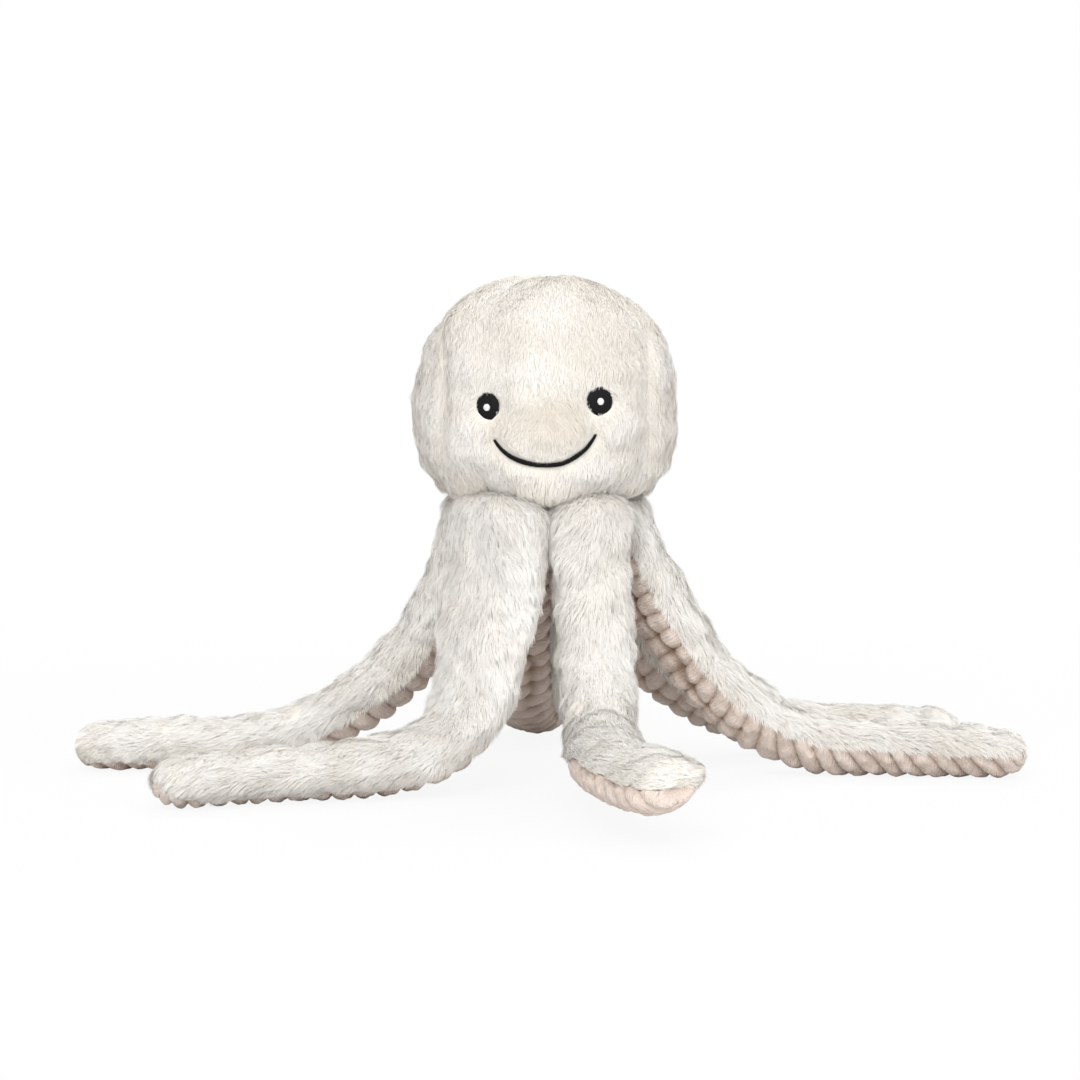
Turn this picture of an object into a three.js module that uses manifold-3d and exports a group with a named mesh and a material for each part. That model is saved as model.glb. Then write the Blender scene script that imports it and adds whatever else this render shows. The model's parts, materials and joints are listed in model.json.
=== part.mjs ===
// Plush octopus: a stuffed head with an embroidered face on six soft arms.
// The arms are fur above and wide-ribbed plush below, and bend at the head seam and at mid length.
// Millimetres, +Z up. The face looks along -Y. The origin is the middle of the underside.

import * as THREE from 'three';
import { mergeVertices } from 'three/addons/utils/BufferGeometryUtils.js';
import Module from 'manifold-3d';

const wasm = await Module();
wasm.setup();

// Gaps and cuts
const seamGap = 0.3;
const overrun = 3;
const floorCut = 0.5;
const weldReach = 1e-4;

// Head, sewn from panels
const headWidth = 131;
const headDepth = 122;
const crownRise = 67;
const cheekHeight = 41;
const cheekCurve = 78;
const neckHeight = 141;
const headCoat = 7;
const sideSeamPlace = 50;
const crownRoundness = 2.35;

// Underside panel between the arms
const undersideRadius = 22;
const undersideThickness = 4;
const undersideEdge = 1.5;

// Embroidered face
const eyeWidth = 12;
const eyeHeight = 13.2;
const eyeSpacing = 55.5;
const eyeLevel = 47.4;
const eyeSunk = 1.6;
const eyeThickness = 3;
const eyeLeanDeg = 6;
const glintDiameter = 3.2;
const glintRaise = 0.4;
const glintDepth = 1.2;
const smileWidth = 49;
const smileDip = 13.5;
const smileLevel = 31.5;
const smileThread = 2.2;
const smileTipThread = 1;
const smileSunk = 1.4;
const smileThickness = 2.6;
const faceRollDeg = 3;
const faceShift = 1.7;

// Arms
const armLength = 262;
const armWidth = 42;
const armThickness = 34;
const armCoat = 5.5;
const rootInset = 16.72;
const rootSocketDepth = 3;
const rootThickness = 27;
const rootWidth = 36;
const tipThickness = 26;
const tipWidth = 34;
const swellLength = 55;
const tipRound = 17;
const tipBluntness = 0.8;
const tipWrapDeg = 81;
const slopeReach = 1;
const reliefReachShare = 1.8;
const seamDeg = 30;
const ribPitch = 11;
const ribDepth = 2.2;

// Bends, in degrees: how far each one lifts and drops
const rootLift = 40;
const rootDrop = 10;
const kneeLift = 35;
const kneeDrop = 25;

// Facets
const headSides = 24;
const headRings = 6;
const liningSides = 12;
const liningRings = 3;
const ovalSides = 12;
const furSteps = 8;
const ribSteps = 4;
const furLiningSteps = 4;
const ribLiningSteps = 2;
const ballSides = 12;
const stationPitch = 20;
const smileSteps = 6;
const tipSteps = 3;

// Each arm's pose, in degrees and as shares chosen by hand.
// rootDeg is its place on the root ring. dropDeg is its heading as it leaves the head, and steepDeg how
// far below level it points there. reachShare is how far from its root it lands, as a share of the neck
// height, and landDeg the direction of that place. layDeg and tipDeg are its headings where it lands and
// at its tip. kneeShare is the place of the mid bend along the arm. rollDegs are its twists at the root,
// the knee and the tip. pullShares shape the curve between root and landing.
const armPoses = [
  {
    name: 'front_right', rootDeg: 0, dropDeg: -6, steepDeg: 72, reachShare: 0.82, landDeg: -3,
    layDeg: -6, tipDeg: -6, landRaiseShare: 0, tipRaiseShare: 0, kneeShare: 0.48,
    rollDegs: [-20, -30, -22], widthShares: [0.94, 0.96, 0.94], pullShares: [0.42, 0.34],
  },
  {
    name: 'back_right', rootDeg: 60, dropDeg: 40, steepDeg: 74, reachShare: 1.02, landDeg: 13,
    layDeg: 1, tipDeg: -4, landRaiseShare: 0, tipRaiseShare: 0, kneeShare: 0.45,
    rollDegs: [0, -8, -4], widthShares: [0.94, 0.96, 0.94], pullShares: [0.44, 0.42],
  },
  {
    name: 'back', rootDeg: 111, dropDeg: 90, steepDeg: 72, reachShare: 0.86, landDeg: 84,
    layDeg: 76, tipDeg: 60, landRaiseShare: 0, tipRaiseShare: 0, kneeShare: 0.48,
    rollDegs: [0, 0, 0], widthShares: [1, 1.04, 0.96], pullShares: [0.38, 0.4],
  },
  {
    name: 'back_left', rootDeg: 169, dropDeg: 172, steepDeg: 82, reachShare: 1, landDeg: 177,
    layDeg: 179, tipDeg: 183, landRaiseShare: 0, tipRaiseShare: 0, kneeShare: 0.42,
    rollDegs: [0, 4, 4], widthShares: [0.94, 0.98, 0.98], pullShares: [0.42, 0.42],
  },
  {
    name: 'front_left', rootDeg: 236, dropDeg: 228, steepDeg: 80, reachShare: 0.82, landDeg: 207,
    layDeg: 197, tipDeg: 214, landRaiseShare: 0, tipRaiseShare: 0, kneeShare: 0.48,
    rollDegs: [0, 0, 4], widthShares: [1.26, 1.2, 1], pullShares: [0.66, 0.6],
  },
  {
    name: 'front', rootDeg: 304, dropDeg: 300, steepDeg: 83, reachShare: 0.58, landDeg: 274,
    layDeg: 271, tipDeg: 302, landRaiseShare: 0.08, tipRaiseShare: 0.1, kneeShare: 0.46,
    rollDegs: [0, 6, 22], widthShares: [0.9, 0.9, 1.14], pullShares: [0.62, 0.42],
  },
];

// Finishes
const ivoryFur = { color: 0xf3ede2, roughness: 0.95, metalness: 0 };
const ribPlush = { color: 0xd9c4b6, roughness: 0.9, metalness: 0 };
const fibreFill = { color: 0xfbfaf6, roughness: 1, metalness: 0 };
const blackThread = { color: 0x0d0d0e, roughness: 0.6, metalness: 0 };
const whiteThread = { color: 0xf7f7f4, roughness: 0.6, metalness: 0 };

const rad = THREE.MathUtils.degToRad;
const worldUp = new THREE.Vector3(0, 0, 1);
const cheekLevel = neckHeight + cheekHeight;
const rootHeight = neckHeight + rootSocketDepth - rootThickness / 2;
const rootRingRadius = headOutline(neckHeight, 0) - rootInset;
const halfOvalSteps = (furSteps + ribSteps) / 2;

// Solids and meshes

function toSolid(geometry) {
  const bare = geometry.clone();
  bare.deleteAttribute('normal');
  bare.deleteAttribute('uv');
  const merged = mergeVertices(bare, weldReach);
  const corners = merged.index.array;
  const kept = [];
  for (let i = 0; i < corners.length; i += 3) {
    const [a, b, c] = [corners[i], corners[i + 1], corners[i + 2]];
    if (a !== b && b !== c && c !== a) kept.push(a, b, c);
  }
  const mesh = new wasm.Mesh({
    numProp: 3,
    vertProperties: new Float32Array(merged.attributes.position.array),
    triVerts: new Uint32Array(kept),
  });
  return new wasm.Manifold(mesh);
}

function toMesh(name, solid, finish, origin = new THREE.Vector3()) {
  const { vertProperties, triVerts } = solid.getMesh();
  const geometry = new THREE.BufferGeometry();
  geometry.setAttribute('position', new THREE.BufferAttribute(vertProperties, 3));
  geometry.setIndex(new THREE.BufferAttribute(triVerts, 1));
  geometry.translate(-origin.x, -origin.y, -origin.z);
  geometry.computeVertexNormals();
  const mesh = new THREE.Mesh(geometry, new THREE.MeshStandardMaterial(finish));
  mesh.name = name;
  return mesh;
}

// A closed skin through flat outlines of equally many points, each placed in its own frame.
// Past its outer steps an outline runs back, and so do the diagonals, so that they match a neighbour's.
// A round end, given as a wall facing ahead and rows of points behind it, may replace the first cover.
function loft(outlines, frames, outerSteps = outlines[0].length, round = null) {
  const count = outlines[0].length;
  const points = outlines.flatMap((outline, r) => outline.map((point) => placed(point, frames[r])));
  const corners = [];
  for (let r = 0; r + 1 < outlines.length; r += 1) {
    for (let i = 0; i < count; i += 1) {
      const here = r * count + i;
      const next = r * count + (i + 1) % count;
      if (i >= outerSteps && i < count - 1) {
        corners.push(here, next, here + count, next, next + count, here + count);
      } else {
        corners.push(here, next, next + count, here, next + count, here + count);
      }
    }
  }
  const cover = (outline, frame, ahead) => {
    const first = points.length;
    points.push(...outline.map((point) => placed(point, frame)));
    for (const face of THREE.ShapeUtils.triangulateShape(outline, [])) {
      corners.push(...(ahead ? face.reverse() : face).map((corner) => first + corner));
    }
  };
  cover(outlines[outlines.length - 1], frames[frames.length - 1], true);
  if (round) {
    cover(round.wall, frames[0], true);
    addRows(round.rows, points, corners);
  } else {
    cover(outlines[0], frames[0], false);
  }
  const geometry = new THREE.BufferGeometry().setFromPoints(points);
  geometry.setIndex(corners);
  return toSolid(geometry);
}

// Faces between neighbouring rows of points
function addRows(rows, points, corners) {
  for (let r = 0; r + 1 < rows.length; r += 1) {
    const first = points.length;
    const across = rows[r].length;
    points.push(...rows[r], ...rows[r + 1]);
    for (let i = 0; i + 1 < across; i += 1) {
      const here = first + i;
      const below = here + across;
      corners.push(here, below, below + 1, here, below + 1, here + 1);
    }
  }
}

// A flat point across and above the frame's centre, in space
function placed(point, frame) {
  return frame.point.clone().addScaledVector(frame.side, point.x).addScaledVector(frame.up, point.y);
}

function boxBetween(low, high) {
  const size = new THREE.Vector3().subVectors(high, low);
  const box = new THREE.BoxGeometry(size.x, size.y, size.z);
  box.translate((low.x + high.x) / 2, (low.y + high.y) / 2, (low.z + high.z) / 2);
  return toSolid(box);
}

// Head

// Half the head's width at a height, for a skin that lies inset below the surface
function headOutline(height, inset) {
  const above = height > cheekLevel;
  const rise = (above ? crownRise : cheekCurve) - inset;
  const roundness = above ? crownRoundness : 2;
  const share = Math.min(Math.abs(height - cheekLevel) / rise, 1);
  return (headWidth / 2 - inset) * (1 - share ** roundness) ** (1 / roundness);
}

// The head's whole round form, inset below its surface and closed by a flat disc at its bottom
function headForm(inset, bottom, sides = headSides, rings = headRings) {
  const top = cheekLevel + crownRise - inset;
  const outline = [new THREE.Vector2(0, bottom)];
  for (let i = 0; i <= rings; i += 1) {
    const height = bottom + (cheekLevel - bottom) * (i / rings);
    outline.push(new THREE.Vector2(headOutline(height, inset), height));
  }
  for (let i = 1; i < rings; i += 1) {
    const height = cheekLevel + (top - cheekLevel) * Math.sin(i / rings * Math.PI / 2);
    outline.push(new THREE.Vector2(headOutline(height, inset), height));
  }
  outline.push(new THREE.Vector2(0, top));
  const lathe = new THREE.LatheGeometry(outline, sides);
  lathe.rotateX(Math.PI / 2);
  lathe.scale(1, (headDepth / 2 - inset) / (headWidth / 2 - inset), 1);
  return toSolid(lathe);
}

// The head's stuffing, or the hollow for it, which has plainer facets than the coat
function headLining(inset, bottom) {
  return headForm(inset, bottom, liningSides, liningRings);
}

// The part of the head between two depths below its surface
function headLayer(outerInset, innerInset) {
  return headForm(outerInset, neckHeight).subtract(headForm(innerInset, neckHeight - overrun));
}

function headPanels(sockets) {
  const whole = headForm(0, neckHeight).subtract(headLining(headCoat, neckHeight - overrun));
  const coat = whole.subtract(sockets);
  const far = headWidth;
  const top = cheekLevel + crownRise + overrun;
  const band = sideSeamPlace - seamGap / 2;
  const half = seamGap / 2;
  const low = neckHeight - overrun;
  const zone = (x0, y0, x1, y1) => coat.intersect(
    boxBetween(new THREE.Vector3(x0, y0, low), new THREE.Vector3(x1, y1, top)),
  );
  return {
    face: zone(-band, -far, band, -half),
    back: zone(-band, half, band, far),
    left: zone(-far, -far, -sideSeamPlace - half, far),
    right: zone(sideSeamPlace + half, -far, far, far),
  };
}

function headStuffing(sockets) {
  return headLining(headCoat + seamGap, neckHeight).subtract(sockets);
}

// A round disc with a softened edge that closes the head between the arms
function undersidePanel() {
  const top = neckHeight - seamGap;
  const bottom = top - undersideThickness;
  const outline = [
    new THREE.Vector2(0, bottom),
    new THREE.Vector2(undersideRadius - undersideEdge, bottom),
    new THREE.Vector2(undersideRadius, bottom + undersideEdge),
    new THREE.Vector2(undersideRadius, top - undersideEdge),
    new THREE.Vector2(undersideRadius - undersideEdge, top),
    new THREE.Vector2(0, top),
  ];
  const lathe = new THREE.LatheGeometry(outline, headSides);
  lathe.rotateX(Math.PI / 2);
  return toSolid(lathe);
}

// Face: each piece is a prism through the head's front, kept between two depths

// Turns an outline in the plane of the face into a prism that runs out through the front
function facePrism(shape) {
  const prism = new THREE.ExtrudeGeometry(shape, { depth: headDepth, bevelEnabled: false });
  prism.rotateX(Math.PI / 2);
  prism.rotateY(-rad(faceRollDeg));
  prism.translate(faceShift, 0, neckHeight);
  return toSolid(prism);
}

function ovalShape(place, width, height, leanDeg) {
  const shape = new THREE.Shape();
  shape.absellipse(place.x, place.y, width / 2, height / 2, 0, 2 * Math.PI, false, rad(leanDeg));
  return new THREE.Shape(shape.getPoints(ovalSides / 2));
}

// The smile: a band along a circular arc that thins towards its ends
function smileShape(grow) {
  const half = smileWidth / 2;
  const radius = (half * half + smileDip * smileDip) / (2 * smileDip);
  const middle = new THREE.Vector2(0, smileLevel - smileDip + radius);
  const spread = Math.asin(half / radius);
  const edge = (side) => {
    const points = [];
    for (let i = 0; i <= smileSteps; i += 1) {
      const share = 2 * i / smileSteps - 1;
      const thread = smileTipThread + (smileThread - smileTipThread) * (1 - share ** 4);
      const angle = spread * (1 + grow / half) * share;
      const reach = radius + side * (thread / 2 + grow);
      points.push(new THREE.Vector2(
        middle.x + reach * Math.sin(angle), middle.y - reach * Math.cos(angle),
      ));
    }
    return points;
  };
  return new THREE.Shape([...edge(1), ...edge(-1).reverse()]);
}

// A piece set into its carrier: the piece itself and the pocket that receives it
function inlay(shape, pocketShape, sunk, thickness) {
  const piece = facePrism(shape).intersect(headLayer(sunk, sunk + thickness));
  const pocket = facePrism(pocketShape).intersect(headLayer(-overrun, sunk + thickness + seamGap));
  return { piece, pocket };
}

function embroidery() {
  const sides = [['left', -1], ['right', 1]];
  const pieces = {};
  const pockets = [];
  for (const [name, way] of sides) {
    const place = new THREE.Vector2(way * eyeSpacing / 2, eyeLevel);
    const lean = way > 0 ? -eyeLeanDeg : eyeLeanDeg / 2;
    const grow = 2 * seamGap;
    const eye = inlay(
      ovalShape(place, eyeWidth, eyeHeight, lean),
      ovalShape(place, eyeWidth + grow, eyeHeight + grow, lean),
      eyeSunk, eyeThickness,
    );
    const glint = inlay(
      ovalShape(place, glintDiameter, glintDiameter, 0),
      ovalShape(place, glintDiameter + grow, glintDiameter + grow, 0),
      eyeSunk - glintRaise, glintDepth,
    );
    pieces[`eye_${name}`] = eye.piece.subtract(glint.pocket);
    pieces[`eye_highlight_${name}`] = glint.piece;
    pockets.push(eye.pocket);
  }
  const smile = inlay(smileShape(0), smileShape(seamGap), smileSunk, smileThickness);
  pockets.push(smile.pocket);
  return { pieces, smile: smile.piece, pockets: joined(pockets) };
}

function joined(solids) {
  return solids.reduce((whole, solid) => whole.add(solid));
}

// Arms

// The arm's size at a place along it: it swells below the head and then tapers to its tip
function armSize(pose, along) {
  const swell = THREE.MathUtils.smoothstep(along, 0, swellLength);
  const taper = Math.max(along - swellLength, 0) / (armLength - swellLength);
  const size = (root, full, tip) => root + (full - root) * swell + (tip - full) * taper;
  return {
    wide: size(rootWidth, armWidth, tipWidth) / 2 * alongArm(pose, pose.widthShares, along),
    thick: size(rootThickness, armThickness, tipThickness) / 2,
  };
}

// A value between those chosen for an arm's root, knee and tip
function alongArm(pose, [root, knee, tip], along) {
  const kneePlace = pose.kneeShare * armLength;
  return along < kneePlace
    ? THREE.MathUtils.mapLinear(along, 0, kneePlace, root, knee)
    : THREE.MathUtils.mapLinear(along, kneePlace, armLength, knee, tip);
}

// How high the arm's centre line runs where the arm lies on the ground
function lyingHeight(pose, along) {
  const { wide, thick } = armSize(pose, along);
  const roll = rad(alongArm(pose, pose.rollDegs, along));
  return Math.hypot(thick * Math.cos(roll), wide * Math.sin(roll)) - floorCut;
}

function heading(deg, dipDeg = 0) {
  const level = Math.cos(rad(dipDeg));
  return new THREE.Vector3(level * Math.cos(rad(deg)), level * Math.sin(rad(deg)), -Math.sin(rad(dipDeg)));
}

// The arm's centre line: down from the head in one sweep, then along the ground
function armRoute(pose) {
  const root = heading(pose.rootDeg).multiplyScalar(rootRingRadius).setZ(rootHeight);
  const landing = root.clone().addScaledVector(heading(pose.landDeg), pose.reachShare * neckHeight);
  const landRaise = pose.landRaiseShare * neckHeight;
  landing.z = lyingHeight(pose, armLength) + landRaise;
  const span = root.distanceTo(landing);
  const drop = new THREE.CubicBezierCurve3(
    root,
    root.clone().addScaledVector(heading(pose.dropDeg, pose.steepDeg), pose.pullShares[0] * span),
    landing.clone().addScaledVector(heading(pose.layDeg), -pose.pullShares[1] * span),
    landing,
  );
  landing.z = lyingHeight(pose, drop.getLength()) + landRaise;
  drop.updateArcLengths();
  const rest = armLength - drop.getLength();
  const bend = landing.clone().addScaledVector(heading(pose.layDeg), rest / 2);
  const tip = bend.clone().addScaledVector(heading(pose.tipDeg), rest / 2);
  tip.z = lyingHeight(pose, armLength) + pose.tipRaiseShare * neckHeight;
  bend.z = (landing.z + tip.z) / 2;
  const route = new THREE.CurvePath();
  route.add(drop);
  route.add(new THREE.QuadraticBezierCurve3(landing, bend, tip));
  return route;
}

// A place on the arm: its point, the way ahead, and the rolled side and upper directions
function armFrame(pose, route, along) {
  const length = route.getLength();
  const near = (distance) => route.getPoint(THREE.MathUtils.clamp(distance / length, 0, 1));
  const point = near(along);
  const ahead = near(along + slopeReach).sub(near(along - slopeReach)).normalize();
  const side = new THREE.Vector3().crossVectors(ahead, worldUp).normalize();
  side.applyAxisAngle(ahead, rad(alongArm(pose, pose.rollDegs, along)));
  const up = new THREE.Vector3().crossVectors(side, ahead);
  return { point, ahead, side, up };
}

// Points along an oval, from one angle to another, counted from the side and upwards
function ovalArc(wide, thick, fromDeg, toDeg, steps) {
  const arc = [];
  for (let i = 0; i <= steps; i += 1) {
    const angle = rad(fromDeg + (toDeg - fromDeg) * i / steps);
    arc.push(new THREE.Vector2(-wide * Math.cos(angle), thick * Math.sin(angle)));
  }
  return arc;
}

// The rings' places from one end of a segment to the other, closer together round the tip
function stations(from, to, pitch, endsAtTip) {
  const straight = endsAtTip ? to - tipRound : to;
  const count = Math.max(Math.round((straight - from) / pitch), 2);
  const places = [];
  for (let i = 0; i <= count; i += 1) places.push({ along: from + (straight - from) * i / count, share: 1 });
  if (endsAtTip) {
    for (let i = 1; i <= tipSteps; i += 1) {
      const angle = i / tipSteps * rad(tipWrapDeg);
      places.push({ along: straight + tipRound * Math.sin(angle), share: Math.cos(angle) ** tipBluntness });
    }
  }
  return places;
}

// The arm's oval at a station: its outer half sizes, and those of the hollow for the stuffing
function ovalAt(pose, { along, share }) {
  const { wide, thick } = armSize(pose, along);
  const [outWide, outThick] = [wide * share, thick * share];
  const hollow = outThick > 2 * armCoat;
  return {
    wide: outWide,
    thick: outThick,
    inWide: hollow ? outWide - armCoat : 0,
    inThick: hollow ? outThick - armCoat : 0,
  };
}

// The fur's section: over the top from seam to seam, and back along the stuffing
function furOutline({ wide, thick, inWide, inThick }) {
  const inner = ovalArc(inWide, inThick, 180 + seamDeg, -seamDeg, furLiningSteps);
  const seam = ovalArc(wide, thick, 180 + seamDeg, -seamDeg, 1);
  if (inThick === 0) flatten(inner, seam[0], seam[1]);
  return [...ovalArc(wide, thick, -seamDeg, 180 + seamDeg, furSteps), ...inner];
}

// Lays a lining's points on the middle half of the line from seam to seam, where the arm has no hollow
function flatten(lining, from, to) {
  const quarter = new THREE.Vector2().subVectors(to, from).multiplyScalar(1 / 4);
  lining.forEach((point, i) => {
    point.copy(from).addScaledVector(quarter, 1 + 2 * i / (lining.length - 1));
  });
}

// The ribbed plush's section: under the arm from seam to seam, and back along the stuffing
function ribOutline({ wide, thick, inWide, inThick }) {
  const outer = ovalArc(wide, thick, 180 + seamDeg, 360 - seamDeg, ribSteps);
  const inner = ovalArc(inWide, inThick, 360 - seamDeg, 180 + seamDeg, ribLiningSteps);
  if (inThick === 0) flatten(inner, outer[ribSteps], outer[0]);
  const outline = [...outer, ...inner];
  outline.forEach((point, i) => {
    point.y -= i === 0 || i >= ribSteps ? seamGap : 0;
  });
  return outline;
}

// Rows of points that round a segment's end about a bend's axis, on which it turns in its neighbour
function roundEnd(frame, wide, thick) {
  const rows = [];
  for (let k = 0; k <= ballSides / 2; k += 1) {
    const turn = k / (ballSides / 2) * Math.PI;
    rows.push(ovalArc(wide, thick, 0, 180, halfOvalSteps).map((point) => frame.point.clone()
      .addScaledVector(frame.side, point.x)
      .addScaledVector(frame.up, point.y * Math.cos(turn))
      .addScaledVector(frame.ahead, -point.y * Math.sin(turn))));
  }
  return rows;
}

// The whole ball about a bend's axis
function ballAt(frame, wide, thick) {
  const outline = ovalArc(wide, thick, 0, 180, halfOvalSteps).map((point) => new THREE.Vector2(point.y, point.x));
  outline[0].x = 0;
  outline[halfOvalSteps].x = 0;
  const lathe = new THREE.LatheGeometry(outline, ballSides);
  const turn = new THREE.Matrix4().makeBasis(frame.ahead, frame.side, frame.up.clone().negate());
  turn.setPosition(frame.point);
  lathe.applyMatrix4(turn);
  return toSolid(lathe);
}

// The fur of a segment, which also closes its round end
function furPiece(pose, route, span) {
  const places = stations(span.from, span.to, stationPitch, span.endsAtTip);
  const frames = places.map(({ along }) => armFrame(pose, route, along));
  const outlines = places.map((place) => furOutline(ovalAt(pose, place)));
  const first = ovalAt(pose, places[0]);
  const under = ovalArc(first.wide, first.thick, 180 + seamDeg, 360 - seamDeg, ribSteps);
  const hollow = ovalArc(first.inWide, first.inThick, -seamDeg, 180 + seamDeg, furLiningSteps);
  const round = { wall: [...under, ...hollow], rows: roundEnd(frames[0], first.wide, first.thick) };
  return loft(outlines, frames, furSteps, round);
}

// A frame and an outline on the straight lines that join two neighbouring rings
function ringBetween(first, second, share) {
  const frame = {};
  for (const part of ['point', 'ahead', 'side', 'up']) {
    frame[part] = first.frame[part].clone().lerp(second.frame[part], share);
  }
  const outline = first.outline.map((point, i) => point.clone().lerp(second.outline[i], share));
  return { frame, outline };
}

// A segment's rings with the outlines of one of its pieces, from just clear of its round end
function ringsOf(pose, route, span, outlineOf) {
  const rings = stations(span.from, span.to, stationPitch, span.endsAtTip).map((place) => ({
    ...place,
    frame: armFrame(pose, route, place.along),
    outline: outlineOf(ovalAt(pose, place)),
  }));
  const clear = ringBetween(rings[0], rings[1], seamGap / (rings[1].along - rings[0].along));
  return [{ ...rings[0], ...clear, along: rings[0].along + seamGap }, ...rings.slice(1)];
}

// The ribbed plush of a segment. Each stretch between two rings holds whole ribs and their furrows, and
// the rings that close the tip stay plain.
function ribPiece(pose, route, span) {
  const rings = ringsOf(pose, route, span, ribOutline);
  const ribbed = [];
  for (let r = 0; r + 1 < rings.length; r += 1) {
    const ribs = Math.max(Math.round((rings[r + 1].along - rings[r].along) / ribPitch), 1);
    const steps = rings[r + 1].share < 1 ? 1 : 2 * ribs;
    for (let k = 0; k < steps; k += 1) {
      const ring = ringBetween(rings[r], rings[r + 1], k / steps);
      const depth = k % 2 === 0 ? 0 : ribDepth;
      for (let i = 1; i < ribSteps; i += 1) ring.outline[i].y += depth;
      ribbed.push(ring);
    }
  }
  ribbed.push(rings[rings.length - 1]);
  return loft(ribbed.map((ring) => ring.outline), ribbed.map((ring) => ring.frame), ribSteps);
}

// The stuffing of a segment, which ends where the tip closes in
function stuffingPiece(pose, route, span) {
  const steps = furLiningSteps + ribLiningSteps;
  const rings = ringsOf(pose, route, span, ({ inWide, inThick }) => (
    inThick === 0 ? [] : ovalArc(inWide - seamGap, inThick - seamGap, -seamDeg, 360 - seamDeg, steps).slice(0, steps)
  )).filter((ring) => ring.outline.length > 0);
  return loft(rings.map((ring) => ring.outline), rings.map((ring) => ring.frame));
}

// What a segment gives up so that the next one can turn at the bend
function bendRelief(pose, route, along, lift, drop) {
  const frame = armFrame(pose, route, along);
  const { wide, thick } = armSize(pose, along);
  const reach = reliefReachShare * thick;
  const at = (deg, far) => new THREE.Vector2(far * Math.cos(rad(deg)), far * Math.sin(rad(deg)));
  const outline = new THREE.Shape([
    new THREE.Vector2(0, 0),
    at(-90 - drop, reach),
    new THREE.Vector2(2 * reach, -reach),
    new THREE.Vector2(2 * reach, reach),
    at(90 + lift, reach),
  ]);
  const depth = 2 * (wide + overrun);
  const wedge = new THREE.ExtrudeGeometry(outline, { depth, bevelEnabled: false });
  wedge.translate(0, 0, -depth / 2);
  const turn = new THREE.Matrix4().makeBasis(frame.ahead, frame.up, frame.side);
  turn.setPosition(frame.point);
  wedge.applyMatrix4(turn);
  return socketAt(pose, route, along).add(toSolid(wedge));
}

// The hollow in which a round end turns: the flats of its facets stay clear of the ball's edges
function socketAt(pose, route, along) {
  const { wide, thick } = armSize(pose, along);
  const spare = 1 / Math.cos(Math.PI / ballSides);
  return ballAt(armFrame(pose, route, along), (wide + seamGap) * spare, (thick + seamGap) * spare);
}

const ground = boxBetween(
  new THREE.Vector3(-2 * armLength, -2 * armLength, -armLength),
  new THREE.Vector3(2 * armLength, 2 * armLength, 0),
);

// A segment's three pieces, placed about the bend that it turns on
function segmentGroup(name, pose, route, span, trim, range) {
  const group = new THREE.Group();
  const frame = armFrame(pose, route, span.from);
  group.name = name;
  group.add(toMesh(`${name}_fur`, trim(furPiece(pose, route, span)), ivoryFur, frame.point));
  group.add(toMesh(`${name}_ribbed_plush`, trim(ribPiece(pose, route, span)), ribPlush, frame.point));
  group.add(toMesh(`${name}_stuffing`, trim(stuffingPiece(pose, route, span)), fibreFill, frame.point));
  group.position.copy(frame.point);
  group.userData = { axis: frame.side.toArray(), rangeDeg: range };
  return group;
}

// An arm: the upper segment hangs at the head seam, and the lower one at the upper one's end
function makeArm(pose, route) {
  const kneePlace = pose.kneeShare * armLength;
  const relief = bendRelief(pose, route, kneePlace, kneeLift, kneeDrop);
  const upper = segmentGroup(
    `${pose.name}_arm_upper`, pose, route, { from: 0, to: kneePlace, endsAtTip: false },
    (solid) => solid.subtract(relief), [-rootDrop, rootLift],
  );
  const lower = segmentGroup(
    `${pose.name}_arm_lower`, pose, route, { from: kneePlace, to: armLength, endsAtTip: true },
    (solid) => solid.subtract(ground), [-kneeDrop, kneeLift],
  );
  lower.position.sub(upper.position);
  upper.add(lower);
  return upper;
}

function makeHead(sockets) {
  const head = new THREE.Group();
  const panels = headPanels(sockets);
  const face = embroidery();
  head.add(toMesh('head_face_panel', panels.face.subtract(face.pockets), ivoryFur));
  head.add(toMesh('head_back_panel', panels.back, ivoryFur));
  head.add(toMesh('head_side_panel_left', panels.left, ivoryFur));
  head.add(toMesh('head_side_panel_right', panels.right, ivoryFur));
  head.add(toMesh('head_underside_panel', undersidePanel(), ribPlush));
  head.add(toMesh('head_stuffing', headStuffing(sockets), fibreFill));
  for (const [name, solid] of Object.entries(face.pieces)) {
    head.add(toMesh(name, solid, name.startsWith('eye_highlight') ? whiteThread : blackThread));
  }
  head.add(toMesh('smile', face.smile, blackThread));
  return head;
}

const routes = armPoses.map((pose) => armRoute(pose));
const octopus = new THREE.Group();
octopus.add(makeHead(joined(armPoses.map((pose, i) => socketAt(pose, routes[i], 0)))));
armPoses.forEach((pose, i) => octopus.add(makeArm(pose, routes[i])));

// The origin is the middle of the whole toy's underside
octopus.updateMatrixWorld(true);
const extent = new THREE.Box3().setFromObject(octopus, true);
octopus.position.set(
  -(extent.min.x + extent.max.x) / 2, -(extent.min.y + extent.max.y) / 2, -extent.min.z,
);
octopus.updateMatrixWorld(true);

export default octopus;
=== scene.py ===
"""Plush octopus: long-pile fur, ribbed plush undersides and an embroidered face, made around its frame.

Sizes are in millimetres unless a name says otherwise, and the finished meshes are in metres. The toy
looks along -Y, +Z is up, and the origin is the middle of its underside.
"""

from __future__ import annotations

import json
import logging
import math
from dataclasses import dataclass, field, replace
from enum import Enum

import bmesh
import bpy
import numpy as np
from mathutils import Matrix, Vector
from mathutils.kdtree import KDTree


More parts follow.
